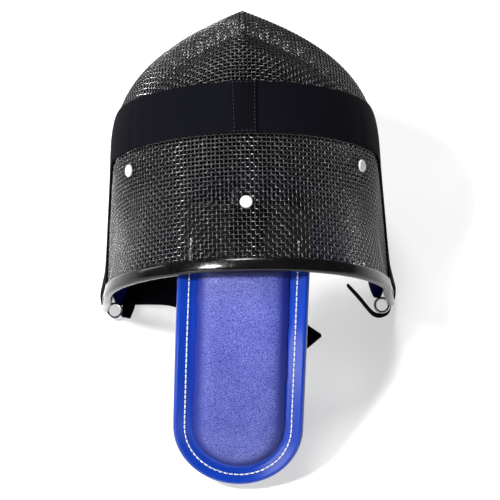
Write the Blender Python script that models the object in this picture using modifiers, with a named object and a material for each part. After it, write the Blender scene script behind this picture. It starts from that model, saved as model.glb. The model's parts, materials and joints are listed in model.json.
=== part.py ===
"""Fencing mask standing tilted back on its lower rim, with an elastic band over the crown and a padded tongue.

The mask is worked out in the worn frame: x to the right, y the way the face looks, z up, with the origin
in the middle of the crown rim. An empty then tilts that frame back until the lower rim lies on the floor.
"""

import math

import bmesh
import bpy
import numpy as np
from mathutils import Matrix, Vector

MM = 0.001

# The centre line over the crown and down the face: length of each run and the bend that it turns through.
CENTRE_LINE = (
    # run (mm), bend (degrees)
    (91, 0),
    (32, 6),
    (38, 17),
    (106, 70),
    (200, 44),
)
CENTRE_LINE_STEP = 1.0

# The ribs of the mask fan out from the line between the jaw corners, like the hoops of a hood.
JAW_DROP = 190 * MM
JAW_HALF_WIDTH = 111 * MM
JAW_CORNER_RADIUS = 30 * MM
CROWN_RIM_ANGLE = 90.0
LOWER_RIM_ANGLE = -30.0
SEAM_ANGLE = 60.5
SEAM_GAP = 0.5 * MM
WALL_POINTS = 24
RIBS = (
    # fan angle, shoulder half width (mm), shoulder depth (mm), ridge slope (degrees), roundness at the top
    (-30, 99, 92, 12, 0.56),
    (0, 99, 97, 20, 0.52),
    (25, 99, 101, 22.5, 0.52),
    (42, 99, 101, 18, 0.53),
    (52, 98, 100, 9, 0.55),
    (62, 96.5, 98, 0, 0.56),
    (90, 105, 101, 0, 0.56),
)
SHOULDER_ROUNDNESS = 0.55
ARCH_STEPS = 60
LEG_STEPS = 30
RIB_STEPS = 121  # points of the fine rib that places on the wall are read from
ANGLE_STEP = 0.4  # degrees of fan angle over which the wall's slope is measured
SHARE_STEP = 0.01

# Walls and clearances.
WALL = 2 * MM
GAP = 0.3 * MM
TILT = 30.0
FLOOR_SHIFT = 2.1 * MM  # the jaw line lies this far in front of the middle of the footprint
CROWN_RIBS = 7
FACE_RIBS = 20
CORNER_STATIONS = 7
BIB_LIFT = 0.1 * MM

# Edging of the rim: a channel that grips the cut edge of the mesh.
EDGING_GRIP = 7.4 * MM
CORNER_GRIP = 4.4 * MM
EDGING_WEB = 1.8 * MM
EDGING_LIP = 1.2 * MM
EDGING_ROUND = 0.7 * MM
EDGING_GAP = 0.7 * MM
FOOT = 2.0 * MM  # height of the mesh edge above the floor, inside the lower edging

# Elastic band over the crown.
BAND_WIDTH = 39.5 * MM
BAND_THICKNESS = 1.6 * MM
BAND_FORWARD = 118.5 * MM
BAND_GAP = 0.7 * MM
BAND_ACROSS = (-1, -0.5, 0, 0.5, 1)
BAND_TOP_SIDES = (0, 9, 18, 27, 36, 45, 53, 60, 67, 73, 78)
BAND_SIDE_STEPS = 13
BAND_SIDE = (
    # forward (mm), up (mm), half width (mm), lift off the wall (mm)
    (118.5, -56, 19.75, 0.0),
    (116, -84, 19.75, 0.0),
    (97, -113, 19.0, 0.6),
    (66, -139, 15.0, 1.6),
    (34, -162, 10.5, 2.6),
    (7, -182, 7.0, 2.2),
)
OVERLAP_WIDTH = 18 * MM
OVERLAP_THICKNESS = 1.2 * MM
OVERLAP_OVERHANG = 0.4 * MM

# Tongue: it swings sideways a little about the centre rivet.
RIVET_FORWARD = 48 * MM
TONGUE_SWING = -3.5
TONGUE_WIDTH = 95.5 * MM
TONGUE_THICKNESS = 4.5 * MM
TONGUE_EDGE = 1.4 * MM
TONGUE_STATIONS = 26
TONGUE_CORNER = 0.3  # corner radius at the top of the tongue, as a share of its half width
TONGUE_ROUTE = (
    # forward (mm), up (mm), in the worn frame
    (34, -19),
    (4, -20.5),
    (-48, -36),
    (-97, -64),
    (-143, -98),
)
PAD_WIDTH = 66 * MM
PAD_HEIGHT = 7 * MM
PAD_START_INSET = 28 * MM
PAD_END_INSET = 16 * MM
SPRING_WIDTH = 22 * MM
SPRING_THICKNESS = 1.0 * MM
SPRING_ROUTE = (
    # forward (mm), up (mm)
    (58, -2.7),
    (46, -3.0),
    (37, -7.5),
    (29, -12.4),
    (21, -15.3),
    (9, -15.8),
)

# Rivets and rings.
RIVET_RADIUS = 4.6 * MM
RIVET_HEIGHT = 1.8 * MM
RIVET_SEAT = 0.15 * MM  # a flat rivet head clears the curved wall by this much more
SIDE_RIVET_FORWARD = 84 * MM
SIDE_RIVET_SIDE = 84 * MM
RING_RADIUS = 5.4 * MM
RING_WIRE = 1.1 * MM
RING_PLACE = (100.3 * MM, -5.0 * MM, 9.5 * MM)
RING_LEAN = 42.0

# Side pads: the part of the inner wall that they cover, as fan angles and distances from the jaw line.
SIDE_PAD_ANGLES = (-4.0, 66.0)
SIDE_PAD_REACH = 100 * MM
SIDE_PAD_CLEAR = 9.5 * MM
SIDE_PAD_THICKNESS = 13 * MM
SIDE_PAD_ROWS = 12
SIDE_PAD_COLUMNS = 9

# Bib tucked under the chin, and the strap ends, in the floor frame: origin between the jaw corners on the floor.
BIB_THICKNESS = 2.4 * MM
BIB_BACK = 52 * MM
BIB_EDGE_GAP = 0.9 * MM
BIB_POINTS = 40
LONG_END = (
    # across (mm), forward (mm), up (mm), half width (mm)
    (-95, 29.5, 4.2, 19.5),
    (-76, 30.5, 3.2, 19.5),
    (-56, 29, 2.2, 19.5),
    (-34, 20, 1.3, 19.5),
    (-12, 5, 0.6, 19.5),
    (10, -10, 0.4, 19.5),
    (28, -19, 0.4, 19.5),
    (37, -22, 0.4, 18.5),
    (56, -22, 0.4, 0.8),
)
RING_LOOP = (
    # across (mm), forward (mm), up (mm), half width (mm)
    (-90.2, -8, 7.0, 2.8),
    (-90.2, -4.5, 8.2, 3.2),
    (-90.4, 1, 7.0, 3.8),
    (-90.5, 9.5, 4.4, 4.6),
)
SHORT_END = (
    # across (mm), forward (mm), height (mm)
    (114.8, -1, 10.5),
    (114.3, -6.5, 8.0),
    (111, -10.5, 5.5),
    (104, -12.4, 4.6),
    (98, -10.5, 4.6),
    (93, -2, 4.6),
    (87, 10, 4.6),
    (79, 25, 3.6),
)
STRAP_THICKNESS = 1.5 * MM


def remove_everything():
    for old in list(bpy.data.objects):
        bpy.data.objects.remove(old)


def make_collection(name):
    group = bpy.data.collections.new(name)
    bpy.context.scene.collection.children.link(group)
    return group


def make_material(name, colour, roughness, metallic=0.0):
    material = bpy.data.materials.new(name)
    material.use_nodes = True
    shader = material.node_tree.nodes["Principled BSDF"]
    shader.inputs["Base Color"].default_value = (*colour, 1.0)
    shader.inputs["Roughness"].default_value = roughness
    shader.inputs["Metallic"].default_value = metallic
    return material


def table_value(table, angle, column):
    """A smooth curve through one column of a table whose first column is the angle."""
    rows = np.array(table, float)
    keys, values = rows[:, 0], rows[:, column]
    k = int(np.clip(np.searchsorted(keys, angle) - 1, 0, len(keys) - 2))
    slopes = np.diff(values) / np.diff(keys)
    tangents = np.array([slopes[0]] + [0.0] * (len(keys) - 2) + [slopes[-1]])
    for i in range(1, len(keys) - 1):
        if slopes[i - 1] * slopes[i] > 0:
            tangents[i] = 2 * slopes[i - 1] * slopes[i] / (slopes[i - 1] + slopes[i])
    width = keys[k + 1] - keys[k]
    t = (angle - keys[k]) / width
    start = (1 + 2 * t) * (1 - t) ** 2 * values[k] + t * (1 - t) ** 2 * width * tangents[k]
    end = t * t * (3 - 2 * t) * values[k + 1] + t * t * (t - 1) * width * tangents[k + 1]
    return start + end


def centre_line():
    """Points (forward, up) along the centre of the crown and face, from the crown rim past the chin."""
    points = [(0.0, 0.0)]
    bend = 0.0
    for run, turn in CENTRE_LINE:
        steps = round(run / CENTRE_LINE_STEP)
        for _ in range(steps):
            bend += math.radians(turn) / steps
            middle = bend - math.radians(turn) / steps / 2
            y, z = points[-1]
            points.append((y + math.cos(middle) * run / steps * MM, z - math.sin(middle) * run / steps * MM))
    return np.array(points)


LINE = centre_line()
LINE_ANGLE = np.degrees(np.arctan2(LINE[:, 1] + JAW_DROP, LINE[:, 0]))
LINE_REACH = np.hypot(LINE[:, 0], LINE[:, 1] + JAW_DROP)


def corner_reach(angle):
    """How far the rounded jaw corner lies from the jaw line, seen at a fan angle."""
    half_corner = math.radians(CROWN_RIM_ANGLE - LOWER_RIM_ANGLE) / 2
    off = math.radians(angle - (CROWN_RIM_ANGLE + LOWER_RIM_ANGLE) / 2)
    centre = JAW_CORNER_RADIUS / math.sin(half_corner)
    inside = max(JAW_CORNER_RADIUS**2 - (centre * math.sin(off)) ** 2, 0.0)
    return centre * math.cos(off) - math.sqrt(inside)


def rib(angle, count):
    """Evenly spaced points (across, forward, up) of the right half of a rib, from the centre line to the jaw."""
    reach = np.interp(-angle, -LINE_ANGLE, LINE_REACH)
    half_width = table_value(RIBS, angle, 1) * MM
    depth = table_value(RIBS, angle, 2) * MM
    slope = math.radians(table_value(RIBS, angle, 3))
    top_handle = table_value(RIBS, angle, 4) * half_width
    side = np.array([JAW_HALF_WIDTH - half_width, reach - depth])
    side_way = side / np.linalg.norm(side)
    shoulder = np.array([half_width, depth])
    top_control = top_handle * np.array([math.cos(slope), math.sin(slope)])
    side_control = shoulder - SHOULDER_ROUNDNESS * depth * side_way
    t = np.linspace(0, 1, ARCH_STEPS)[:, None]
    arch = 3 * (1 - t) ** 2 * t * top_control + 3 * (1 - t) * t * t * side_control + t**3 * shoulder
    leg = shoulder + side * np.linspace(0, 1, LEG_STEPS)[1:, None] * (1 - corner_reach(angle) / (reach - depth))
    outline = np.vstack([arch, leg])
    length = np.concatenate([[0], np.cumsum(np.linalg.norm(np.diff(outline, axis=0), axis=1))])
    even = np.linspace(0, length[-1], count)
    across = np.interp(even, length, outline[:, 0])
    along = reach - np.interp(even, length, outline[:, 1])
    turn = math.radians(angle)
    return np.stack([across, along * math.cos(turn), along * math.sin(turn) - JAW_DROP], 1)


def whole_rib(angle, count):
    """A rib from the left jaw over the centre line to the right jaw."""
    right = rib(angle, count)
    return np.vstack([(right * (-1, 1, 1))[:0:-1], right])


def wall_point(angle, share):
    """A point of the wall: share 0 is on the centre line and 1 at the right jaw."""
    points = rib(angle, RIB_STEPS)
    place = share * (len(points) - 1)
    return np.array([np.interp(place, np.arange(len(points)), points[:, k]) for k in range(3)])


def wall_normal(angle, share):
    """The outward direction of the right half of the wall."""
    low, high = max(angle - ANGLE_STEP, LOWER_RIM_ANGLE), min(angle + ANGLE_STEP, CROWN_RIM_ANGLE)
    along = wall_point(high, share) - wall_point(low, share)
    round_it = wall_point(angle, min(share + SHARE_STEP, 1)) - wall_point(angle, max(share - SHARE_STEP, 0))
    normal = np.cross(along, round_it)
    return normal / np.linalg.norm(normal)


def place_on_wall(forward, up=None, across=None, start=(60.0, 0.4)):
    """The (angle, share) of the right wall point with this forward place and this height or this place across."""
    angle, share = start
    goal = np.array([forward, up if across is None else across])
    rows = [1, 2] if across is None else [1, 0]
    for _ in range(12):
        here = wall_point(angle, share)[rows]
        by_angle = (wall_point(angle + ANGLE_STEP / 2, share)[rows] - here) / (ANGLE_STEP / 2)
        by_share = (wall_point(angle, share + SHARE_STEP / 5)[rows] - here) / (SHARE_STEP / 5)
        move = np.linalg.solve(np.stack([by_angle, by_share], 1), goal - here)
        angle = float(np.clip(angle + move[0], LOWER_RIM_ANGLE, CROWN_RIM_ANGLE - 0.5))
        share = float(np.clip(share + move[1], 0.0, 0.995))
    return angle, share


def add_object(name, mesh, material, group, parent=None):
    part = bpy.data.objects.new(name, mesh)
    mesh.materials.append(material)
    group.objects.link(part)
    part.parent = parent
    return part


def grid_mesh(name, rows):
    """An open surface through rows of points with equal counts."""
    shape = bmesh.new()
    lines = [[shape.verts.new(point) for point in row] for row in rows]
    for near, far in zip(lines, lines[1:]):
        for k in range(len(near) - 1):
            shape.faces.new((near[k], near[k + 1], far[k + 1], far[k]))
    mesh = bpy.data.meshes.new(name)
    shape.to_mesh(mesh)
    shape.free()
    return mesh


def loft_mesh(name, sections, closed_path=False):
    """A closed body through closed sections with equal counts; an open path gets flat end caps."""
    shape = bmesh.new()
    rings = [[shape.verts.new(point) for point in section] for section in sections]
    pairs = list(zip(rings, rings[1:]))
    if closed_path:
        pairs.append((rings[-1], rings[0]))
    for near, far in pairs:
        for k in range(len(near)):
            after = (k + 1) % len(near)
            shape.faces.new((near[k], near[after], far[after], far[k]))
    if not closed_path:
        shape.faces.new(list(reversed(rings[0])))
        shape.faces.new(rings[-1])
    bmesh.ops.recalc_face_normals(shape, faces=shape.faces)
    mesh = bpy.data.meshes.new(name)
    shape.to_mesh(mesh)
    shape.free()
    return mesh


def thicken(part, thickness, offset):
    solid = part.modifiers.new("wall", "SOLIDIFY")
    solid.thickness = thickness
    solid.offset = offset
    solid.use_even_offset = True


def seam_row(side, points):
    """The edge of the crown wall (side 1) or the face wall (side -1) along the seam, a hair off its middle."""
    right = []
    for share in np.linspace(0, 1, points):
        y, z = wall_point(SEAM_ANGLE, share)[1:]
        reach = math.hypot(y, z + JAW_DROP)
        right.append(wall_point(SEAM_ANGLE + side * math.degrees(math.asin(SEAM_GAP / 2 / reach)), share))
    right = np.array(right)
    return np.vstack([(right * (-1, 1, 1))[:0:-1], right])


def mesh_wall(name, low, high, ribs, side, material, group, parent):
    """The woven wall between two fan angles, as one closed wall; side says which end is the seam."""
    angles = np.linspace(low, high, ribs)
    rows = [whole_rib(angle, WALL_POINTS) for angle in angles]
    rows[0 if side > 0 else -1] = seam_row(side, WALL_POINTS)
    wall = add_object(name, grid_mesh(name, rows), material, group, parent)
    thicken(wall, WALL, 0)


def corner_angles(count):
    """Fan angles of evenly spaced points round the jaw corner, between the crown rim and the lower rim."""
    bisector = (CROWN_RIM_ANGLE + LOWER_RIM_ANGLE) / 2
    half_corner = math.radians(CROWN_RIM_ANGLE - LOWER_RIM_ANGLE) / 2
    centre = JAW_CORNER_RADIUS / math.sin(half_corner)
    turn = np.linspace(math.pi / 2 - half_corner, half_corner - math.pi / 2, count + 2)[1:-1]
    across, along = JAW_CORNER_RADIUS * np.sin(turn), centre - JAW_CORNER_RADIUS * np.cos(turn)
    return bisector + np.degrees(np.arctan2(across, along))


def rim_loop():
    """Points and outward wall normals round the rim, from the middle of the crown rim to the right."""
    stations = [(CROWN_RIM_ANGLE, share) for share in np.linspace(0, 1, WALL_POINTS)]
    stations += [(angle, 1.0) for angle in corner_angles(CORNER_STATIONS)]
    stations += [(LOWER_RIM_ANGLE, share) for share in np.linspace(1, 0, WALL_POINTS)]
    points = [wall_point(angle, share) for angle, share in stations]
    normals = [wall_normal(angle, share) for angle, share in stations]
    for edge in (0, -1):
        normals[edge] = normals[edge] * (0, 1, 1)
        normals[edge] /= np.linalg.norm(normals[edge])
    points += [p * (-1, 1, 1) for p in points[-2:0:-1]]
    normals += [n * (-1, 1, 1) for n in normals[-2:0:-1]]
    return np.array(points), np.array(normals)


def rim_edging(material, group, parent):
    """The channel round the whole rim, open towards the wall that it grips."""
    points, normals = rim_loop()
    tangents = np.roll(points, -1, 0) - np.roll(points, 1, 0)
    tangents /= np.linalg.norm(tangents, axis=1)[:, None]
    outward = np.cross(tangents, normals)
    outward /= np.linalg.norm(outward, axis=1)[:, None]
    middle = np.array([0, points[:, 1].mean(), points[:, 2].mean()])
    outward[((points - middle) * outward).sum(1) < 0] *= -1
    groove = WALL / 2 + EDGING_GAP
    side = groove + EDGING_LIP
    end = GAP + EDGING_WEB
    profile = (
        (-side, -EDGING_GRIP),
        (-groove, -EDGING_GRIP),
        (-groove, GAP),
        (groove, GAP),
        (groove, -EDGING_GRIP),
        (side, -EDGING_GRIP),
        (side, end - EDGING_ROUND),
        (side - EDGING_ROUND, end),
        (EDGING_ROUND - side, end),
        (-side, end - EDGING_ROUND),
    )
    sections = []
    for p, n, o in zip(points, normals, outward):
        near_corner = math.hypot(p[1], p[2] + JAW_DROP) < JAW_CORNER_RADIUS
        inset = EDGING_GRIP - CORNER_GRIP if near_corner else 0.0
        section = [to_floor(p + n * a + o * (b + inset if b < 0 else b)) for a, b in profile]
        sections.append([to_worn(np.array([x, y, max(z, 0.0)])) for x, y, z in section])
    add_object("rim_edging", loft_mesh("rim_edging", sections, True), material, group, parent)


def curve_through(rows, count):
    """Evenly spread points on a smooth curve through the rows of a table."""
    rows = np.array(rows, float)
    padded = np.vstack([2 * rows[0] - rows[1], rows, 2 * rows[-1] - rows[-2]])
    points = []
    for place in np.linspace(0, len(rows) - 1, count):
        k = min(int(place), len(rows) - 2)
        t = place - k
        a, b, c, d = padded[k:k + 4]
        bent = (2 * a - 5 * b + 4 * c - d) * t * t + (3 * b - a - 3 * c + d) * t**3
        points.append(b + ((c - a) * t + bent) / 2)
    return np.array(points)


def band_route():
    """Right half of the band: rows of places on the wall, each row running across the band."""
    half = BAND_WIDTH / 2
    rows = []
    start = (60.0, 0.02)
    for side in BAND_TOP_SIDES:
        row = [place_on_wall(BAND_FORWARD + off * half, across=max(side * MM, 0.01 * MM), start=start)
               for off in BAND_ACROSS]
        start = row[2]
        rows.append((row, 0.0))
    route = curve_through(BAND_SIDE, BAND_SIDE_STEPS)
    ways = np.gradient(route[:, :2], axis=0)
    for (forward, up, half, lift), way in zip(route, ways):
        out = np.array([-way[1], way[0]]) / np.linalg.norm(way)
        row = []
        for off in BAND_ACROSS:
            y, z = np.array([forward, up]) + out * half * off
            row.append(place_on_wall(y * MM, up=z * MM, start=start))
        start = row[2]
        rows.append((row, lift * MM))
    return rows


def elastic_band(material, group, parent):
    """The band from one jaw corner over the crown to the other, lying on the wall."""
    sections = []
    for row, lift in band_route():
        points = [wall_point(*place) for place in row]
        normals = [wall_normal(*place) for place in row]
        inner = [p + n * (WALL / 2 + BAND_GAP + lift) for p, n in zip(points, normals)]
        outer = [p + n * (WALL / 2 + BAND_GAP + lift + BAND_THICKNESS) for p, n in zip(points, normals)]
        sections.append(np.array(inner + outer[::-1]))
    sections[0][:, 0] = 0.0
    mirrored = [section * (-1, 1, 1) for section in sections[:0:-1]]
    add_object("elastic_band", loft_mesh("elastic_band", mirrored + sections), material, group, parent)


def overlap_strip(material, group, parent):
    """The stitched overlap of the band in the middle of the forehead."""
    half = BAND_WIDTH / 2 + OVERLAP_OVERHANG
    lift = WALL / 2 + BAND_GAP + BAND_THICKNESS + GAP
    sections = []
    for side in np.linspace(-0.5, 0.5, 5) * OVERLAP_WIDTH:
        row = []
        for off in BAND_ACROSS:
            place = place_on_wall(BAND_FORWARD + off * half, across=max(abs(side), 0.01 * MM), start=(60, 0.02))
            point, normal = wall_point(*place), wall_normal(*place)
            if side < 0:
                point, normal = point * (-1, 1, 1), normal * (-1, 1, 1)
            row.append((point, normal))
        inner = [p + n * lift for p, n in row]
        outer = [p + n * (lift + OVERLAP_THICKNESS) for p, n in row]
        sections.append(inner + outer[::-1])
    add_object("band_overlap", loft_mesh("band_overlap", sections), material, group, parent)


def flat_strip(name, table, count, material, group):
    """A strip lying on the floor through a table of places, heights and half widths in the floor frame."""
    route = curve_through(table, count)
    ways = np.gradient(route[:, :2], axis=0)
    sections = []
    for (x, y, z, half), way in zip(route, ways):
        out = np.array([way[1], -way[0], 0]) / np.linalg.norm(way)
        place = np.array([x, y + FLOOR_SHIFT / MM, z])
        lift = np.array([0, 0, STRAP_THICKNESS / MM])
        section = [place - out * half, place + out * half, place + out * half + lift, place - out * half + lift]
        sections.append(np.array(section) * MM)
    add_object(name, loft_mesh(name, sections), material, group)


def standing_strip(name, table, count, material, group):
    """A strip standing on its edge on the floor through a table of places and heights in the floor frame."""
    route = curve_through(table, count)
    ways = np.gradient(route[:, :2], axis=0)
    sections = []
    for (x, y, height), way in zip(route, ways):
        out = np.array([way[1], -way[0], 0]) / np.linalg.norm(way) * STRAP_THICKNESS / 2 / MM
        low = np.array([x, y + FLOOR_SHIFT / MM, GAP / MM])
        high = low + (0, 0, height)
        sections.append(np.array([low - out, low + out, high + out, high - out]) * MM)
    add_object(name, loft_mesh(name, sections), material, group)


def tongue_frames(inset_start, inset_end, count, lift):
    """Stations along the tongue: distance from the start, point, and the way out of its back face."""
    route = curve_through([(0, y, z) for y, z in TONGUE_ROUTE], 120) * MM
    length = np.concatenate([[0], np.cumsum(np.linalg.norm(np.diff(route, axis=0), axis=1))])
    ways = np.gradient(route, axis=0)
    ways /= np.linalg.norm(ways, axis=1)[:, None]
    even = (1 - np.cos(np.linspace(0, math.pi, count))) / 2
    stations = []
    for place in inset_start + even * (length[-1] - inset_end - inset_start):
        point = np.array([np.interp(place, length, route[:, k]) for k in range(3)])
        way = np.array([np.interp(place, length, ways[:, k]) for k in range(3)])
        normal = np.array([0, way[2], -way[1]])
        normal /= np.linalg.norm(normal)
        stations.append((place, point + normal * lift, normal))
    return stations, length[-1]


def end_width(place, start, end, half_width, corner):
    """Half width at a distance along a piece with a rounded start and a half round end."""
    from_start, from_end = place - start, end - place
    half = half_width
    if from_end < half_width:
        half = math.sqrt(max(half_width**2 - (half_width - from_end) ** 2, 0))
    if from_start < corner:
        half = half_width - corner + math.sqrt(max(corner**2 - (corner - from_start) ** 2, 0))
    return max(half, 1.5 * MM)


def tongue_piece(name, inset_start, inset_end, half_width, lift, profile, material, group, parent):
    """A body along the tongue; profile gives (share of the half width, height) round its section."""
    stations, length = tongue_frames(inset_start, inset_end, TONGUE_STATIONS, lift)
    sections = []
    for place, point, normal in stations:
        half = end_width(place, inset_start, length - inset_end, half_width, half_width * TONGUE_CORNER)
        squeeze = min(1.0, half / half_width * 1.6)
        sections.append([point + np.array([share * half, 0, 0]) + normal * height * squeeze
                         for share, height in profile])
    return add_object(name, loft_mesh(name, sections), material, group, parent)


def tongue(vinyl, steel, group, parent):
    """The spring strip, the flat flange and the raised pad on its back, swung a little about the centre rivet."""
    swing = bpy.data.objects.new("tongue_swing", None)
    group.objects.link(swing)
    swing.parent = parent
    turn = Matrix.Rotation(math.radians(TONGUE_SWING), 4, "Z")
    pivot = Matrix.Translation((0, RIVET_FORWARD, 0))
    swing.matrix_local = pivot @ turn @ pivot.inverted()
    half = TONGUE_THICKNESS / 2
    edge = TONGUE_EDGE
    flange = ((-1, -edge), (-0.9, -half), (0.9, -half), (1, -edge), (1, edge), (0.9, half), (-0.9, half), (-1, edge))
    tongue_piece("tongue_flange", 0, 0, TONGUE_WIDTH / 2, 0, flange, vinyl, group, swing)
    pad = ((-1, 0), (1, 0), (0.93, 0.55), (0.74, 0.88), (0.4, 1), (-0.4, 1), (-0.74, 0.88), (-0.93, 0.55))
    pad = [(share, height * PAD_HEIGHT) for share, height in pad]
    tongue_piece("tongue_pad", PAD_START_INSET, PAD_END_INSET, PAD_WIDTH / 2, half + GAP, pad, vinyl, group, swing)
    sections = []
    route = curve_through(SPRING_ROUTE, 16) * MM
    ways = np.gradient(route, axis=0)
    for (y, z), way in zip(route, ways):
        up = np.array([0, -way[1], way[0]]) / np.linalg.norm(way) * -SPRING_THICKNESS / 2
        side = np.array([SPRING_WIDTH / 2, 0, 0])
        point = np.array([0, y, z])
        sections.append([point - side - up, point + side - up, point + side + up, point - side + up])
    add_object("tongue_spring", loft_mesh("tongue_spring", sections), steel, group, swing)


def rivet(name, place, mirrored, material, group, parent):
    """A domed rivet head on the outside of the wall."""
    point, normal = wall_point(*place), wall_normal(*place)
    if mirrored:
        point, normal = point * (-1, 1, 1), normal * (-1, 1, 1)
    bpy.ops.mesh.primitive_cylinder_add(vertices=16, radius=RIVET_RADIUS, depth=RIVET_HEIGHT)
    head = bpy.context.object
    head.name = head.data.name = name
    for owner in head.users_collection:
        owner.objects.unlink(head)
    group.objects.link(head)
    head.data.materials.append(material)
    round_off = head.modifiers.new("dome", "BEVEL")
    round_off.width = RIVET_HEIGHT * 0.55
    round_off.segments = 2
    round_off.limit_method = "ANGLE"
    head.parent = parent
    lift = WALL / 2 + GAP + RIVET_HEIGHT / 2 + RIVET_SEAT
    head.location = Vector(point + normal * lift)
    head.rotation_euler = Vector(normal).to_track_quat("Z", "Y").to_euler()


def strap_ring(name, side, material, group):
    """A wire ring at a jaw corner, leaning back against the strap."""
    across, forward, up = RING_PLACE
    bpy.ops.mesh.primitive_torus_add(
        major_radius=RING_RADIUS, minor_radius=RING_WIRE, major_segments=24, minor_segments=6,
        location=(side * across, forward + FLOOR_SHIFT, up), rotation=(math.radians(RING_LEAN), 0, 0))
    ring = bpy.context.object
    ring.name = ring.data.name = name
    for owner in ring.users_collection:
        owner.objects.unlink(ring)
    group.objects.link(ring)
    ring.data.materials.append(material)


def side_pad(name, side, material, group, parent):
    """A pad on the inner wall beside the jaw corner."""
    rows = []
    for angle in np.linspace(*SIDE_PAD_ANGLES, SIDE_PAD_ROWS):
        points = rib(angle, RIB_STEPS)[::-1]
        reach = np.hypot(points[:, 1], points[:, 2] + JAW_DROP)
        nearest = min(CROWN_RIM_ANGLE - angle, angle - LOWER_RIM_ANGLE)
        start = max(SIDE_PAD_CLEAR / math.sin(math.radians(nearest)), corner_reach(angle) + SIDE_PAD_CLEAR)
        row = []
        for goal in np.linspace(start, SIDE_PAD_REACH, SIDE_PAD_COLUMNS):
            share = 1 - np.interp(goal, reach, np.arange(len(points))) / (len(points) - 1)
            inner = wall_point(angle, share) - wall_normal(angle, share) * (WALL / 2 + GAP)
            row.append(inner * (side, 1, 1))
        rows.append(row)
    pad = add_object(name, grid_mesh(name, rows), material, group, parent)
    thicken(pad, SIDE_PAD_THICKNESS, 1 if side < 0 else -1)


def to_floor(point):
    """A point of the worn frame in the world."""
    turn = math.radians(TILT)
    y, z = point[1], point[2] + JAW_DROP
    forward = math.cos(turn) * y - math.sin(turn) * z
    up = math.sin(turn) * y + math.cos(turn) * z
    return np.array([point[0], forward + FLOOR_SHIFT, up + FOOT])


def to_worn(point):
    """A point of the world in the worn frame."""
    turn = math.radians(TILT)
    forward, up = point[1] - FLOOR_SHIFT, point[2] - FOOT
    y = math.cos(turn) * forward + math.sin(turn) * up
    z = math.cos(turn) * up - math.sin(turn) * forward
    return np.array([point[0], y, z - JAW_DROP])


def bib(material, group):
    """The bib, tucked flat under the chin inside the lower rim."""
    inside = WALL / 2 + EDGING_GAP + EDGING_LIP + BIB_EDGE_GAP
    right = []
    for share in np.linspace(0, 1, BIB_POINTS):
        normal = wall_normal(LOWER_RIM_ANGLE, share)
        if share == 0:
            normal = normal * (0, 1, 1) / np.linalg.norm(normal[1:])
        point = to_floor(wall_point(LOWER_RIM_ANGLE, share) - normal * inside)
        if point[1] > BIB_BACK + FLOOR_SHIFT:
            right.append((point[0], point[1]))
    right.append((right[-1][0], BIB_BACK + FLOOR_SHIFT))
    outline = [(-x, y) for x, y in right[:0:-1]] + right
    curve = bpy.data.curves.new("bib", "CURVE")
    curve.dimensions = "2D"
    curve.fill_mode = "BOTH"
    curve.extrude = BIB_THICKNESS / 2
    spline = curve.splines.new("POLY")
    spline.points.add(len(outline) - 1)
    for spot, (x, y) in zip(spline.points, outline):
        spot.co = (x, y, 0, 1)
    spline.use_cyclic_u = True
    part = add_object("bib", curve, material, group)
    part.location = (0, 0, BIB_THICKNESS / 2 + BIB_LIFT)


def main():
    remove_everything()
    group = make_collection("fencing_mask")
    wire = make_material("mesh wire", (0.02, 0.02, 0.022), 0.35, 0.6)
    plastic = make_material("edging", (0.012, 0.012, 0.013), 0.2)
    elastic = make_material("elastic", (0.012, 0.012, 0.03), 0.9)
    vinyl = make_material("blue vinyl", (0.03, 0.07, 0.6), 0.3)
    white = make_material("rivet", (0.9, 0.9, 0.9), 0.35, 0.3)
    steel = make_material("steel", (0.8, 0.8, 0.82), 0.2, 1.0)
    cloth = make_material("bib cloth", (0.012, 0.012, 0.03), 0.95)

    stand = bpy.data.objects.new("stand", None)
    group.objects.link(stand)
    stand.location = to_floor(np.zeros(3))
    stand.rotation_euler = (math.radians(TILT), 0, 0)

    mesh_wall("crown_mesh", SEAM_ANGLE, CROWN_RIM_ANGLE, CROWN_RIBS, 1, wire, group, stand)
    mesh_wall("face_mesh", LOWER_RIM_ANGLE, SEAM_ANGLE, FACE_RIBS, -1, wire, group, stand)
    rim_edging(plastic, group, stand)
    elastic_band(elastic, group, stand)
    overlap_strip(elastic, group, stand)
    tongue(vinyl, steel, group, stand)
    rivet("rivet_centre", place_on_wall(RIVET_FORWARD, across=0.01 * MM, start=(75, 0.01)), False, white, group, stand)
    side_place = place_on_wall(SIDE_RIVET_FORWARD, across=SIDE_RIVET_SIDE, start=(65, 0.35))
    rivet("rivet_right", side_place, False, white, group, stand)
    rivet("rivet_left", side_place, True, white, group, stand)
    side_pad("side_pad_right", 1, vinyl, group, stand)
    side_pad("side_pad_left", -1, vinyl, group, stand)
    strap_ring("strap_ring_right", 1, steel, group)
    strap_ring("strap_ring_left", -1, steel, group)
    flat_strip("strap_end_long", LONG_END, 26, elastic, group)
    flat_strip("ring_loop_left", RING_LOOP, 7, elastic, group)
    standing_strip("strap_end_short", SHORT_END, 22, elastic, group)
    bib(cloth, group)


main()
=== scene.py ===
# %% [markdown]
# # A fencing mask, woven wire by wire
# The mask stands tilted back on its lower rim and is seen from behind and above. The solid model gives the
# sizes and places of all its pieces. This script dresses it: it weaves the wire, rolls the edging, lays the
# elastic band, pads the tongue and lights the whole as a plain studio picture.

# %% Load the solid model
import json
import math

import bpy
import numpy as np
from mathutils import Matrix, Vector

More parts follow.
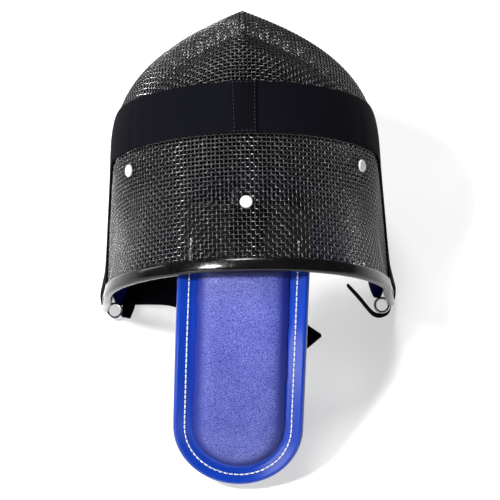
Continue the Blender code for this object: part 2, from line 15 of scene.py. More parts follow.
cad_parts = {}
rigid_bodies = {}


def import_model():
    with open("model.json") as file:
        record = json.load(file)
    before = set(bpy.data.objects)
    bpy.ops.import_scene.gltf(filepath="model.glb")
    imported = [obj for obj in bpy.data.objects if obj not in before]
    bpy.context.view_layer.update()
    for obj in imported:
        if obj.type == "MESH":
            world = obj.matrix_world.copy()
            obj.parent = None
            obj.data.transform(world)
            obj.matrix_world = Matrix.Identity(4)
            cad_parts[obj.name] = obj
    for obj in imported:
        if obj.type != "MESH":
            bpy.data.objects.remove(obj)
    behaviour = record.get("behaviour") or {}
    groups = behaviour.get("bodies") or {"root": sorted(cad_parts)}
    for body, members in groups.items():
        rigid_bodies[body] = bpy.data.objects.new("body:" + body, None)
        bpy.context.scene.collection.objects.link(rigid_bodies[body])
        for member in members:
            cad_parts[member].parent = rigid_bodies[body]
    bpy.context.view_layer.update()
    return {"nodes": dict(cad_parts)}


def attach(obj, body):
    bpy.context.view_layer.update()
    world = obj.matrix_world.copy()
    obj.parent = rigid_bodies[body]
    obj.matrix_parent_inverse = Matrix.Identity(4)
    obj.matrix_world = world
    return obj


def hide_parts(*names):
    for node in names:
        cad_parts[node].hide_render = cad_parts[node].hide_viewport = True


for stray in list(bpy.data.objects):
    bpy.data.objects.remove(stray)
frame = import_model()
print("nodes:", ", ".join(sorted(frame["nodes"])))

MM = 0.001


# %% Small helpers
def unit(vectors):
    """The same directions, each of length one."""
    return vectors / np.linalg.norm(vectors, axis=-1, keepdims=True)


def lengths_along(points):
    """How far down the line through them each point lies."""
    return np.concatenate([[0], np.cumsum(np.linalg.norm(np.diff(points, axis=0), axis=1))])


def new_object(name, data):
    thing = bpy.data.objects.new(name, data)
    bpy.context.scene.collection.objects.link(thing)
    return thing


# %% [markdown]
# ## The frame that the mask is worn in
# A mask is easiest to describe as it is worn: x to the right, y where the face looks, z up, with the origin
# in the middle of the crown rim. The standing mask is the same shape tilted back about the jaw line, so one
# small function brings any worn point into the scene. It also sets the wall a few millimetres forward near
# the jaw line, where the real wall bulges a little.

# %% From the worn mask to the standing mask
TILT = math.radians(30.0)
JAW_DROP = 190 * MM
FLOOR_SHIFT = 2.1 * MM
FOOT = 2.0 * MM
JAW_SET = 5.5 * MM  # the wall at the jaw line sits this much further forward
JAW_SET_REACH = 75 * MM  # and this far from the jaw line nothing of it is left


def jaw_set(reach):
    left = np.clip(1 - reach / JAW_SET_REACH, 0, 1)
    return JAW_SET * left * left * (3 - 2 * left)


def stand(points):
    """Points of the worn mask, as they lie in the scene."""
    points = np.asarray(points, float)
    y, z = points[..., 1], points[..., 2] + JAW_DROP
    forward = math.cos(TILT) * y - math.sin(TILT) * z + FLOOR_SHIFT + jaw_set(np.hypot(y, z))
    up = math.sin(TILT) * y + math.cos(TILT) * z + FOOT
    return np.stack([points[..., 0], forward, up], -1)


def jaw_reach(points):
    """How far worn points lie from the line between the jaw corners."""
    return np.hypot(points[..., 1], points[..., 2] + JAW_DROP)


# %% [markdown]
# ## The camera
# The picture is taken from far off with a long lens, 48 degrees above the floor, which keeps the sides of the
# mask nearly parallel. A camera can be aimed by hand, but here its three axes are worked out: one looks down
# at the mask, and the other two are rolled by a little over a degree, because the real picture leans.

# %% Camera
PICTURE = 500
CAMERA_HEIGHT = math.radians(48.0)
CAMERA_DISTANCE = 2.2
CAMERA_ROLL = math.radians(1.2)
TARGET = stand((0, 50 * MM, -50 * MM))
TARGET_PIXEL = (246.4, 214.2)  # where the target lies in a picture of 500 x 500
PIXEL = 0.735 * MM  # what one pixel covers at the target


def add_camera():
    look = np.array([0, math.cos(CAMERA_HEIGHT), -math.sin(CAMERA_HEIGHT)])
    right = np.array([1.0, 0, 0])
    up = np.cross(right, look)
    place = TARGET - look * CAMERA_DISTANCE
    right, up = (right * math.cos(CAMERA_ROLL) - up * math.sin(CAMERA_ROLL),
                 up * math.cos(CAMERA_ROLL) + right * math.sin(CAMERA_ROLL))
    off = [(PICTURE / 2 - TARGET_PIXEL[0]) * PIXEL, (PICTURE / 2 - TARGET_PIXEL[1]) * PIXEL]
    look = unit(look * CAMERA_DISTANCE + right * off[0] - up * off[1])
    right = unit(np.cross(look, up))
    up = np.cross(right, look)
    data = bpy.data.cameras.new("studio_camera")
    data.sensor_width = 36.0
    data.lens = data.sensor_width * CAMERA_DISTANCE / (PICTURE * PIXEL)
    camera = new_object("studio_camera", data)
    camera.matrix_world = Matrix([[right[k], up[k], -look[k], place[k]] for k in range(3)] + [[0, 0, 0, 1]])
    bpy.context.scene.camera = camera
    print("lens", round(data.lens, 1), "mm")


add_camera()


# %% [markdown]
# ## The shape of the mask as a function
# The wall is a fan of arches about the line between the jaw corners. The wire is woven on this surface, and
# the edging, the band and the rivets sit on it, so it is written once: an angle of the fan and a length down
# the arch, from the ridge, give a point. A table of points with small steps makes it quick to read.

# %% The wall: one arch of the fan
JAW_HALF_WIDTH = 111 * MM
JAW_CORNER_RADIUS = 30 * MM
CROWN_RIM_ANGLE, LOWER_RIM_ANGLE = 90.0, -30.0
CORNER_ANGLE = (CROWN_RIM_ANGLE + LOWER_RIM_ANGLE) / 2  # the rounded jaw corner lies about this fan angle
CORNER_HALF = math.radians(CROWN_RIM_ANGLE - LOWER_RIM_ANGLE) / 2
CORNER_CENTRE = JAW_CORNER_RADIUS / math.sin(CORNER_HALF)  # from the jaw line
BEHIND_RIM = 30 * MM  # the ridge starts this far behind the crown rim
SHOULDER_ROUNDNESS = 0.55
ARCH_STEPS = 90
LEG_LENGTH = 0.35  # of the straight part below the shoulder, in metres; it runs on past the jaw line
CENTRE_LINE = ((91, 0), (32, 6), (38, 17), (106, 70), (200, 44))  # runs in mm and their bends in degrees
ARCHES = (
    # fan angle, shoulder half width (mm), shoulder depth (mm), ridge slope (degrees), roundness at the top
    (-30, 99, 92, 12, 0.56),
    (0, 99, 97, 20, 0.52),
    (25, 99, 101, 22.5, 0.52),
    (42, 99, 101, 18, 0.53),
    (52, 98, 100, 9, 0.55),
    (62, 96.5, 98, 0, 0.56),
    (90, 105, 101, 0, 0.56),
)


def from_table(table, key, column):
    """A smooth curve through one column of a table, over its first column."""
    rows = np.array(table, float)
    keys, values = rows[:, 0], rows[:, column]
    k = int(np.clip(np.searchsorted(keys, key) - 1, 0, len(keys) - 2))
    slopes = np.diff(values) / np.diff(keys)
    tangents = np.array([slopes[0]] + [0.0] * (len(keys) - 2) + [slopes[-1]])
    for i in range(1, len(keys) - 1):
        if slopes[i - 1] * slopes[i] > 0:
            tangents[i] = 2 * slopes[i - 1] * slopes[i] / (slopes[i - 1] + slopes[i])
    width = keys[k + 1] - keys[k]
    t = (key - keys[k]) / width
    start = (1 + 2 * t) * (1 - t) ** 2 * values[k] + t * (1 - t) ** 2 * width * tangents[k]
    end = t * t * (3 - 2 * t) * values[k + 1] + t * t * (t - 1) * width * tangents[k + 1]
    return start + end


def centre_line():
    """Points (forward, up) along the ridge, from a little behind the crown rim to past the chin."""
    points = [(-BEHIND_RIM, 0.0), (0.0, 0.0)]
    bend = 0.0
    for run, turn in CENTRE_LINE:
        for _ in range(run):
            bend += math.radians(turn) / run
            middle = bend - math.radians(turn) / run / 2
            y, z = points[-1]
            points.append((y + math.cos(middle) * MM, z - math.sin(middle) * MM))
    return np.array(points)


RIDGE = centre_line()
RIDGE_ANGLE = np.degrees(np.arctan2(RIDGE[:, 1] + JAW_DROP, RIDGE[:, 0]))
RIDGE_REACH = np.hypot(RIDGE[:, 0], RIDGE[:, 1] + JAW_DROP)
RIDGE_LENGTH = lengths_along(RIDGE) - BEHIND_RIM


def arch(angle, lengths):
    """Points of the right half of the arch at a fan angle, at lengths down from the ridge."""
    reach = np.interp(-angle, -RIDGE_ANGLE, RIDGE_REACH)
    half_width, depth = from_table(ARCHES, angle, 1) * MM, from_table(ARCHES, angle, 2) * MM
    slope, top = math.radians(from_table(ARCHES, angle, 3)), from_table(ARCHES, angle, 4) * half_width
    side = unit(np.array([JAW_HALF_WIDTH - half_width, reach - depth]))
    shoulder = np.array([half_width, depth])
    top_control = top * np.array([math.cos(slope), math.sin(slope)])
    side_control = shoulder - SHOULDER_ROUNDNESS * depth * side
    t = np.linspace(0, 1, ARCH_STEPS)[:, None]
    bow = 3 * (1 - t) ** 2 * t * top_control + 3 * (1 - t) * t * t * side_control + t**3 * shoulder
    leg = shoulder + side * np.linspace(0, LEG_LENGTH, ARCH_STEPS)[1:, None]
    outline = np.vstack([bow, leg])
    length = lengths_along(outline)
    across = np.interp(lengths, length, outline[:, 0])
    out = reach - np.interp(lengths, length, outline[:, 1])
    turn = math.radians(angle)
    return np.stack([across, out * math.cos(turn), out * math.sin(turn) - JAW_DROP], 1)


# %% The wall: reading it at any place
ANGLE_STEP, LENGTH_STEP = 0.5, 2 * MM
LONGEST = 320 * MM
ANGLES = np.arange(-46.0, 99.0, ANGLE_STEP)
LENGTHS = np.arange(0, LONGEST, LENGTH_STEP)
WALL = np.array([arch(angle, LENGTHS) for angle in ANGLES])


def wall(angle, length):
    """Points of the right wall with their slopes by angle and by length."""
    u = (np.asarray(angle, float) - ANGLES[0]) / ANGLE_STEP
    v = np.asarray(length, float) / LENGTH_STEP
    i = np.clip(u.astype(int), 0, len(ANGLES) - 2)
    j = np.clip(v.astype(int), 0, len(LENGTHS) - 2)
    a, b, c, d = WALL[i, j], WALL[i + 1, j], WALL[i, j + 1], WALL[i + 1, j + 1]
    u, v = (u - i)[..., None], (v - j)[..., None]
    point = a * (1 - u) * (1 - v) + b * u * (1 - v) + c * (1 - u) * v + d * u * v
    by_angle = ((b - a) * (1 - v) + (d - c) * v) / ANGLE_STEP
    by_length = ((c - a) * (1 - u) + (d - b) * u) / LENGTH_STEP
    return point, by_angle, by_length


def wall_normal(angle, length):
    """Outward directions of the right wall, smoothed over a few millimetres."""
    angle, length = np.asarray(angle, float), np.asarray(length, float)
    by_angle = wall(angle + 1.0, length)[0] - wall(angle - 1.0, length)[0]
    by_length = wall(angle, length + 3 * MM)[0] - wall(angle, np.maximum(length - 3 * MM, 0))[0]
    return unit(np.cross(by_angle, by_length))


def solve_pair(a, b, c, d, first, second):
    """The x and y with a x + b y = first and c x + d y = second, for whole arrays."""
    scale = a * d - b * c
    return (first * d - second * b) / scale, (second * a - first * c) / scale


def find_on_wall(goal, columns, angle, length):
    """The angle and length where two coordinates of the wall reach the goal, from a first guess."""
    angle, length = np.array(angle, float), np.array(length, float)
    for _ in range(14):
        point, by_angle, by_length = wall(angle, length)
        miss = goal - point[..., columns]
        a, b = by_angle[..., columns[0]], by_length[..., columns[0]]
        c, d = by_angle[..., columns[1]], by_length[..., columns[1]]
        turn, way = solve_pair(a, b, c, d, miss[..., 0], miss[..., 1])
        angle = angle + np.clip(turn, -4, 4)
        length = np.clip(length + np.clip(way, -10 * MM, 10 * MM), 0, LENGTHS[-2])
    return angle, length


def corner_reach(angle):
    """How far the rounded jaw corner lies from the jaw line, seen at a fan angle."""
    off = np.radians(angle - CORNER_ANGLE)
    inside = np.maximum(JAW_CORNER_RADIUS**2 - (CORNER_CENTRE * np.sin(off)) ** 2, 0.0)
    return CORNER_CENTRE * np.cos(off) - np.sqrt(inside)


def rim_length(angle):
    """Length of the arch from the ridge to the rim."""
    step = 0.5 * MM
    reach = jaw_reach(arch(angle, np.arange(0, LONGEST, step)))
    return np.argmax(reach < corner_reach(angle)) * step


def length_at_reach(angle, reaches):
    """Lengths down the arch at which the wall has come this near to the jaw line."""
    fine = np.arange(0, 318 * MM, 1 * MM)
    reach = jaw_reach(wall(np.full(len(fine), angle), fine)[0])
    down = int(np.argmin(reach))
    return np.interp(-reaches, -reach[:down], fine[:down])


print("wall table", WALL.shape)


# %% [markdown]
# ## Laying a grid
# Edging, band, straps and the covers of the pads are all strips or skins that follow something else. As by
# hand, each starts as a plain grid from the Add menu. Its corners are then laid, row by row, on the places
# worked out for them, and edges that meet are merged. The grid brings a UV map, which is stretched to real
# metres, so that a weave can follow the strip round every bend.

# %% A grid laid on places
def deselect():
    if bpy.context.object and bpy.context.object.mode != "OBJECT":
        bpy.ops.object.mode_set(mode="OBJECT")
    bpy.ops.object.select_all(action="DESELECT")


def pick(piece):
    """Makes a piece the only one selected, and the active one."""
    deselect()
    piece.select_set(True)
    bpy.context.view_layer.objects.active = piece


def points_of(mesh):
    flat = np.empty(len(mesh.vertices) * 3)
    mesh.vertices.foreach_get("co", flat)
    return flat.reshape(-1, 3)


def laid_grid(name, places, joined_across=False, joined_along=False, size=None):
    """A grid laid on places (along, across, xyz); joined edges are merged into a tube or a ring."""
    places = np.asarray(places, float)
    if joined_across:
        places = np.concatenate([places, places[:, :1]], 1)
    if joined_along:
        places = np.concatenate([places, places[:1]], 0)
    along, across = places.shape[0] - 1, places.shape[1] - 1
    deselect()
    bpy.ops.mesh.primitive_grid_add(x_subdivisions=along, y_subdivisions=across, size=1)
    piece = bpy.context.object
    piece.name = piece.data.name = name
    flat = points_of(piece.data) + 0.5
    spot = places[np.rint(flat[:, 0] * along).astype(int), np.rint(flat[:, 1] * across).astype(int)]
    piece.data.vertices.foreach_set("co", spot.ravel())
    if size:
        for corner in piece.data.uv_layers[0].data:
            corner.uv = (corner.uv[0] * size[0], corner.uv[1] * size[1])
    bpy.ops.object.mode_set(mode="EDIT")
    bpy.ops.mesh.select_all(action="SELECT")
    if joined_across or joined_along:
        bpy.ops.mesh.remove_doubles(threshold=0.001 * MM)
    if joined_across and not joined_along:
        bpy.ops.mesh.fill_holes(sides=0)
    bpy.ops.mesh.select_all(action="SELECT")
    bpy.ops.mesh.normals_make_consistent(inside=False)
    bpy.ops.object.mode_set(mode="OBJECT")
    bpy.ops.object.shade_smooth_by_angle(angle=math.radians(50))
    return piece


# %% Thickness, routes and threads
def apply_modifiers(piece):
    pick(piece)
    for modifier in list(piece.modifiers):
        bpy.ops.object.modifier_apply(modifier=modifier.name)


def thicken(piece, thickness, rounding=0.0):
    """Gives a laid grid its thickness, half to each side, and rounds its edges."""
    wall_of = piece.modifiers.new("thickness", "SOLIDIFY")
    wall_of.thickness = thickness
    wall_of.offset = 0
    if rounding:
        edge = piece.modifiers.new("rounding", "BEVEL")
        edge.width = rounding
        edge.segments = 2
        edge.limit_method = "ANGLE"
        edge.angle_limit = math.radians(60)
    apply_modifiers(piece)
    bpy.ops.object.shade_smooth_by_angle(angle=math.radians(50))


def smooth_route(rows, count):
    """Evenly spread points on a smooth curve through the rows of a table."""
    rows = np.array(rows, float)
    padded = np.vstack([2 * rows[0] - rows[1], rows, 2 * rows[-1] - rows[-2]])
    points = []
    for place in np.linspace(0, len(rows) - 1, count):
        k = min(int(place), len(rows) - 2)
        t = place - k
        a, b, c, d = padded[k:k + 4]
        bent = (2 * a - 5 * b + 4 * c - d) * t * t + (3 * b - a - 3 * c + d) * t**3
        points.append(b + ((c - a) * t + bent) / 2)
    return np.array(points)


def both_halves(right, mirror=(-1, 1, 1)):
    """A row over the ridge, from left to right, from its right half."""
    return np.concatenate([right[:0:-1] * mirror, right])


def threads(name, runs, radius, sides=0):
    """One mesh of many short or long threads, each a run of points."""
    curve = bpy.data.curves.new(name, "CURVE")
    curve.dimensions = "3D"
    curve.bevel_depth = radius
    curve.bevel_resolution = sides
    curve.use_fill_caps = True
    for run in runs:
        spline = curve.splines.new("POLY")
        spline.points.add(len(run) - 1)
        spline.points.foreach_set("co", np.column_stack([run, np.ones(len(run))]).ravel())
        spline.use_smooth = True
    pick(new_object(name, curve))
    bpy.ops.object.convert(target="MESH")
    return bpy.context.object


# %% Finishing a piece
def finish_piece(piece, material, slot, *nodes):
    """Gives a piece its material and its place in the frame, and hides the solids that it stands for."""
    piece.data.materials.clear()
    piece.data.materials.append(material)
    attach(piece, "root")
    if nodes:
        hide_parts(*nodes)
    piece.data.calc_loop_triangles()
    print(f"{piece.name}: {len(piece.data.loop_triangles)} triangles")


# %% [markdown]
# ## Materials
# Three effects are used by several materials, so each is a node group of its own. Handling gives everything
# its slow unevenness, grain is the pebbled skin of vinyl, and ribs are the cords of elastic and cloth.
# The groups give only masks and heights. The shader itself stays in each material.

# %% Node groups
def new_group(name, inputs, outputs):
    group = bpy.data.node_groups.new(name, "ShaderNodeTree")
    for label, kind, value in inputs:
        socket = group.interface.new_socket(label, in_out="INPUT", socket_type="NodeSocket" + kind)
        if value is not None:
            socket.default_value = value
    for label, kind in outputs:
        group.interface.new_socket(label, in_out="OUTPUT", socket_type="NodeSocket" + kind)
    return group, group.nodes.new("NodeGroupInput"), group.nodes.new("NodeGroupOutput")


def feed(tree, socket, value):
    """Links an input to another node's output, or gives it a number or a colour."""
    if isinstance(value, bpy.types.NodeSocket):
        tree.links.new(value, socket)
    else:
        socket.default_value = value


def feed_all(tree, node, **values):
    """Feeds inputs by name, with Patch_Size for Patch Size."""
    for label, value in values.items():
        feed(tree, node.inputs[label.replace("_", " ")], value)
    return node


def new_node(tree, kind, **values):
    return feed_all(tree, tree.nodes.new("ShaderNode" + kind), **values)


def maths(tree, kind, *values):
    node = new_node(tree, "Math")
    node.operation = kind
    for socket, value in zip(node.inputs, values):
        feed(tree, socket, value)
    return node.outputs[0]


# %% The three effects
def handling_group():
    group, start, end = new_group(
        "handling",
        [("Vector", "Vector", None), ("Patch Size", "Float", 30.0), ("Speck Size", "Float", 900.0)],
        [("Patches", "Float"), ("Specks", "Float")])
    noises = (("Patches", "Patch Size", 3, 0.35, 0.65), ("Specks", "Speck Size", 2, 0.5, 0.75))
    for label, scale, detail, low, high in noises:
        place, scale = start.outputs["Vector"], start.outputs[scale]
        noise = new_node(group, "TexNoise", Vector=place, Scale=scale, Detail=detail)
        spread = new_node(group, "MapRange", Value=noise.outputs[0], From_Min=low, From_Max=high)
        feed(group, end.inputs[label], spread.outputs[0])
    return group


def grain_group():
    group, start, end = new_group(
        "vinyl_grain",
        [("Vector", "Vector", None), ("Pebbles", "Float", 900.0)],
        [("Height", "Float"), ("Tops", "Float")])
    place = start.outputs["Vector"]
    bend = new_node(group, "TexNoise", Vector=place, Scale=400.0)
    shift = new_node(group, "VectorMath")
    shift.operation = "MULTIPLY_ADD"
    for socket, value in zip(shift.inputs, (bend.outputs["Color"], (1.2 * MM,) * 3, place)):
        feed(group, socket, value)
    cells = new_node(group, "TexVoronoi", Vector=shift.outputs[0], Scale=start.outputs["Pebbles"])
    cells.feature = "SMOOTH_F1"
    height = maths(group, "SUBTRACT", 1.0, cells.outputs["Distance"])
    # the tops of the pebbles, which the vinyl covers colour lighter as painted glints
    tops = new_node(group, "MapRange", Value=height, From_Min=0.45, From_Max=0.8)
    feed_all(group, end, Height=height, Tops=tops.outputs[0])
    return group


def ribs_group():
    group, start, end = new_group(
        "woven_ribs",
        [("Vector", "Vector", None), ("Rib Pitch", "Float", 1.9 * MM), ("Thread Pitch", "Float", 0.8 * MM)],
        [("Height", "Float"), ("Light Threads", "Float")])
    split = new_node(group, "SeparateXYZ", Vector=start.outputs["Vector"])
    turns = []
    for axis, pitch in (("X", "Rib Pitch"), ("Y", "Thread Pitch")):
        count = maths(group, "DIVIDE", split.outputs[axis], start.outputs[pitch])
        turns.append(maths(group, "MULTIPLY", count, 2 * math.pi))
    rib = maths(group, "MULTIPLY_ADD", maths(group, "COSINE", turns[0]), 0.5, 0.5)
    half_turn = maths(group, "MULTIPLY", turns[0], 0.5)
    shift = maths(group, "MULTIPLY", maths(group, "SINE", half_turn), 1.6)
    crossing = maths(group, "COSINE", maths(group, "ADD", turns[1], shift))
    thread = maths(group, "MULTIPLY_ADD", crossing, 0.5, 0.5)
    height = maths(group, "MULTIPLY_ADD", thread, 0.45, maths(group, "MULTIPLY", rib, 0.55))
    fuzz = new_node(group, "TexNoise", Vector=start.outputs["Vector"], Scale=1400.0)
    # painted light and shade: the raised threads are coloured lighter, broken up by fuzz noise, and the
    # grooves stay dark
    light = maths(group, "MULTIPLY", maths(group, "POWER", height, 2.0), fuzz.outputs[0])
    feed_all(group, end, Height=height, Light_Threads=light)
    return group


HANDLING, GRAIN, RIBS = handling_group(), grain_group(), ribs_group()


# %% Materials: the shared frame
def new_material(name, colour, roughness, **values):
    material = bpy.data.materials.new(name)
    material.use_nodes = True
    tree = material.node_tree
    shader = feed_all(
        tree, tree.nodes["Principled BSDF"], Base_Color=(*colour, 1), Roughness=roughness, **values)
    return material, tree, shader


def place_group(tree, group, uv=False, **values):
    """A group node fed with Object coordinates, or with the piece's own UV map."""
    place = new_node(tree, "TexCoord").outputs["UV" if uv else "Object"]
    node = new_node(tree, "Group")
    node.node_tree = group
    return feed_all(tree, node, Vector=place, **values)


def mix_colour(tree, shader, mask, low, high):
    """Gives the shader a colour between two, by a mask; low can also be a socket."""
    blend = new_node(tree, "Mix")
    blend.data_type = "RGBA"
    low = (*low, 1) if isinstance(low, tuple) else low
    feed_all(tree, blend, Factor=mask, A=low, B=(*high, 1))
    feed(tree, shader.inputs["Base Color"], blend.outputs["Result"])


def vary_roughness(tree, shader, mask, low, high):
    spread = new_node(tree, "MapRange", Value=mask, To_Min=low, To_Max=high)
    feed(tree, shader.inputs["Roughness"], spread.outputs[0])


def raise_surface(tree, shader, height, distance, strength=1.0):
    bump = new_node(tree, "Bump", Height=height, Distance=distance, Strength=strength)
    feed(tree, shader.inputs["Normal"], bump.outputs[0])


# %% Materials: wire, plastic and metal
def handled(name, low, high, glossy, dull, patch, speck, colour_by="Patches", **values):
    """Enamel, plastic or metal: one handling mask varies its colour and the other its gloss."""
    gloss_by = "Specks" if colour_by == "Patches" else "Patches"
    material, tree, shader = new_material(name, low, glossy, **values)
    handling = place_group(tree, HANDLING, Patch_Size=patch, Speck_Size=speck)
    mix_colour(tree, shader, handling.outputs[colour_by], low, high)
    vary_roughness(tree, shader, handling.outputs[gloss_by], glossy, dull)
    return material


def grey(value):
    return value, value, value


def edging_plastic():
    material = handled("edging plastic", grey(0.0012), grey(0.003), 0.16, 0.3, 60.0, 500.0, IOR=1.4)
    tree = material.node_tree
    waves = place_group(tree, HANDLING, Patch_Size=60.0, Speck_Size=500.0)
    raise_surface(tree, tree.nodes["Principled BSDF"], waves.outputs["Patches"], 0.15 * MM, 0.5)
    return material


ENAMEL = handled("wire enamel", grey(0.0015), grey(0.006), 0.12, 0.2, 45.0, 1600.0, "Specks", IOR=1.75)
RIVET = handled("rivet enamel", grey(0.4), grey(0.5), 0.22, 0.4, 250.0, 1500.0, Coat_Weight=0.3)
SPRING_STEEL = handled("blued steel", (0.006, 0.006, 0.007), (0.012, 0.012, 0.014), 0.35, 0.55, 120.0, 1500.0,
                       Metallic=1.0)
STEEL = handled("plated steel", (0.62, 0.62, 0.63), (0.4, 0.4, 0.41), 0.1, 0.24, 200.0, 2500.0, "Specks",
                Metallic=1.0)
PLASTIC = edging_plastic()


# %% Materials: vinyl, elastic, cloth and thread
def vinyl(name, deep, light, pebbles, roughness, lift, gloss=1.5, sheen_at=None):
    """Grained vinyl; an attribute of the piece can say where the tops of the grain carry a painted sheen,
    pale and speckled.
    """
    material, tree, shader = new_material(name, deep, roughness, IOR=gloss)
    grain = place_group(tree, GRAIN, Pebbles=pebbles)
    tops = grain.outputs["Tops"]
    if sheen_at:
        # painted sheen: where the attribute says, the grain's tops and the handling specks turn pale,
        # patchily
        where = new_node(tree, "Attribute")
        where.attribute_name = sheen_at
        handling = place_group(tree, HANDLING, Patch_Size=40.0, Speck_Size=1500.0)
        patches = maths(tree, "MULTIPLY_ADD", handling.outputs["Patches"], 0.35, 0.65)
        bright = maths(tree, "MAXIMUM", maths(tree, "MULTIPLY", tops, 0.6), handling.outputs["Specks"])
        sheen = maths(tree, "MULTIPLY", bright, where.outputs["Fac"])
        tops = maths(tree, "MULTIPLY", sheen, patches)
    # painted glints: the tops of the grain are coloured lighter than its hollows
    mix_colour(tree, shader, tops, deep, light)
    vary_roughness(tree, shader, grain.outputs["Tops"], roughness + 0.08, roughness - 0.06)
    raise_surface(tree, shader, grain.outputs["Height"], lift)
    return material


def shade_under_crown(material, black):
    """Paints shade on a cover: it turns black from one height of the scene to another, under the crown, and
    dull where it is black.
    """
    tree, shader = material.node_tree, material.node_tree.nodes["Principled BSDF"]
    colour, roughness = [shader.inputs[label].links[0].from_socket for label in ("Base Color", "Roughness")]
    split = new_node(tree, "SeparateXYZ", Vector=new_node(tree, "TexCoord").outputs["Object"])
    rise = new_node(tree, "MapRange", Value=split.outputs["Z"], From_Min=ROOT_LOW, From_Max=ROOT_HIGH)
    rise.interpolation_type = "SMOOTHSTEP"
    mix_colour(tree, shader, rise.outputs[0], colour, black)
    feed(tree, shader.inputs["Roughness"], maths(tree, "MAXIMUM", roughness, rise.outputs[0]))


def woven(name, deep, light, rib, lift):
    """Dull woven ribs along the piece's own UV map."""
    material, tree, shader = new_material(name, deep, 0.85, Specular_IOR_Level=0.06)
    ribs = place_group(tree, RIBS, uv=True, Rib_Pitch=rib, Thread_Pitch=THREAD)
    # painted light and shade: the rib crests coloured lighter, the grooves deep
    mix_colour(tree, shader, ribs.outputs["Light Threads"], deep, light)
    raise_surface(tree, shader, ribs.outputs["Height"], lift)
    return material


def plain_thread(name, colour):
    material, tree, shader = new_material(name, colour, 0.6)
    handling = place_group(tree, HANDLING, Patch_Size=300.0, Speck_Size=3000.0)
    mix_colour(tree, shader, handling.outputs["Specks"], tuple(0.8 * c for c in colour), colour)
    return material


# %% Covers, elastic and cloth
# the tongue's pad: a painted sheen lies pale on its flat top, where its top attribute is 1
PAD_VINYL = vinyl("pad vinyl", (0.002, 0.010, 0.15), (0.22, 0.24, 0.62), 1700.0, 0.36, 0.3 * MM, 1.4, "top")
FLANGE_VINYL = vinyl("flange vinyl", (0.003, 0.024, 0.23), (0.004, 0.03, 0.26), 1600.0, 0.14, 0.03 * MM, 1.4)
# the jaw pads' blue vinyl, darkened far below the tongue's as painted shade inside the mask
SHADED_INNER_VINYL = vinyl("inner vinyl in painted shade", (0.0005, 0.0005, 0.022), (0.001, 0.001, 0.03), 1000.0, 0.7, 0.2 * MM, 1.06)
ROOT_LOW, ROOT_HIGH = 152 * MM, 155 * MM  # heights between which the tongue's covers turn black
# painted shade: the tongue's covers turn black where they run under the crown
for cover in (PAD_VINYL, FLANGE_VINYL):
    shade_under_crown(cover, (0.002, 0.002, 0.003))
ELASTIC_RIB, CLOTH_RIB, THREAD = 1.9 * MM, 0.9 * MM, 0.9 * MM
ELASTIC = woven("ribbed elastic", (0.0006, 0.0006, 0.0016), (0.0055, 0.0055, 0.0125), ELASTIC_RIB, 0.25 * MM)
FOLDED_ELASTIC = woven(
    "folded elastic", (0.0003, 0.0003, 0.001), (0.002, 0.002, 0.006), ELASTIC_RIB, 0.25 * MM)
BIB_CLOTH = woven("bib cloth", (0.001, 0.001, 0.009), (0.003, 0.003, 0.022), CLOTH_RIB, 0.12 * MM)
# near black, darker than the bib cloth: a lining whose colour is painted shade inside the face
SHADED_LINING_CLOTH = woven("lining cloth in painted shade", (0.0003, 0.0003, 0.0004), (0.001, 0.001, 0.0012), CLOTH_RIB, 0.1 * MM)
WHITE_THREAD = plain_thread("white thread", (0.55, 0.58, 0.64))
BLUE_THREAD = plain_thread("dark blue thread", (0.003, 0.003, 0.009))


# %% [markdown]
# ## The woven wire
# A mask's wire is woven flat, square and tight, and then pressed over a form. Wires don't stretch, so each
# little square keeps its four sides and only leans over where the form is round. The net is grown in the same
# way: a first row and the ridge are laid, and each next crossing is the place on the wall that lies one pitch
# from its two neighbours. Crossings go up and down by half a wire, one in two, which makes the weave.
# Copying a picture of a mesh onto the wall would be quicker, but it would show no wire at the outline.

# %% Growing the net
PITCH = 3.1 * MM
WIRE = 0.95 * MM
NET_WIDTH = 96  # crossings from the ridge to one side
CROWN_ROWS = (0, 46)  # before and after the first row
FACE_ROWS = (46, 82)


def grow(net, rows, columns, last_row):
    """Finds crossings from their neighbours in the last row and in the column before."""
    before = columns - 1
    one, other, corner = (last_row, columns), (rows, before), (last_row, before)
    angle = net[0][one] + net[0][other] - net[0][corner]
    length = net[1][one] + net[1][other] - net[1][corner]
    alive = np.isfinite(angle)
    angle, length = np.where(alive, angle, 0), np.where(alive, length, 0.1)
    near, far = net[2][one], net[2][other]
    for _ in range(12):
        point, by_angle, by_length = wall(angle, length)
        miss = [((point - p) ** 2).sum(-1) - PITCH**2 for p in (near, far)]
        a, b = [2 * ((point - near) * by).sum(-1) for by in (by_angle, by_length)]
        c, d = [2 * ((point - far) * by).sum(-1) for by in (by_angle, by_length)]
        turn, way = solve_pair(a, b, c, d, *miss)
        angle = angle - np.clip(turn, -3, 3)
        length = length - np.clip(way, -6 * MM, 6 * MM)
    point = wall(np.nan_to_num(angle), np.nan_to_num(length))[0]
    error = sum(np.abs(np.linalg.norm(point - p, axis=-1) - PITCH) for p in (near, far))
    alive &= (error < 0.02 * MM) & (angle > ANGLES[0]) & (angle < ANGLES[-1])
    alive &= (length >= 0) & (length < LENGTHS[-2])
    net[0][rows, columns] = np.where(alive, angle, np.nan)
    net[1][rows, columns] = np.where(alive, length, np.nan)
    net[2][rows, columns] = np.where(alive[:, None], point, np.nan)


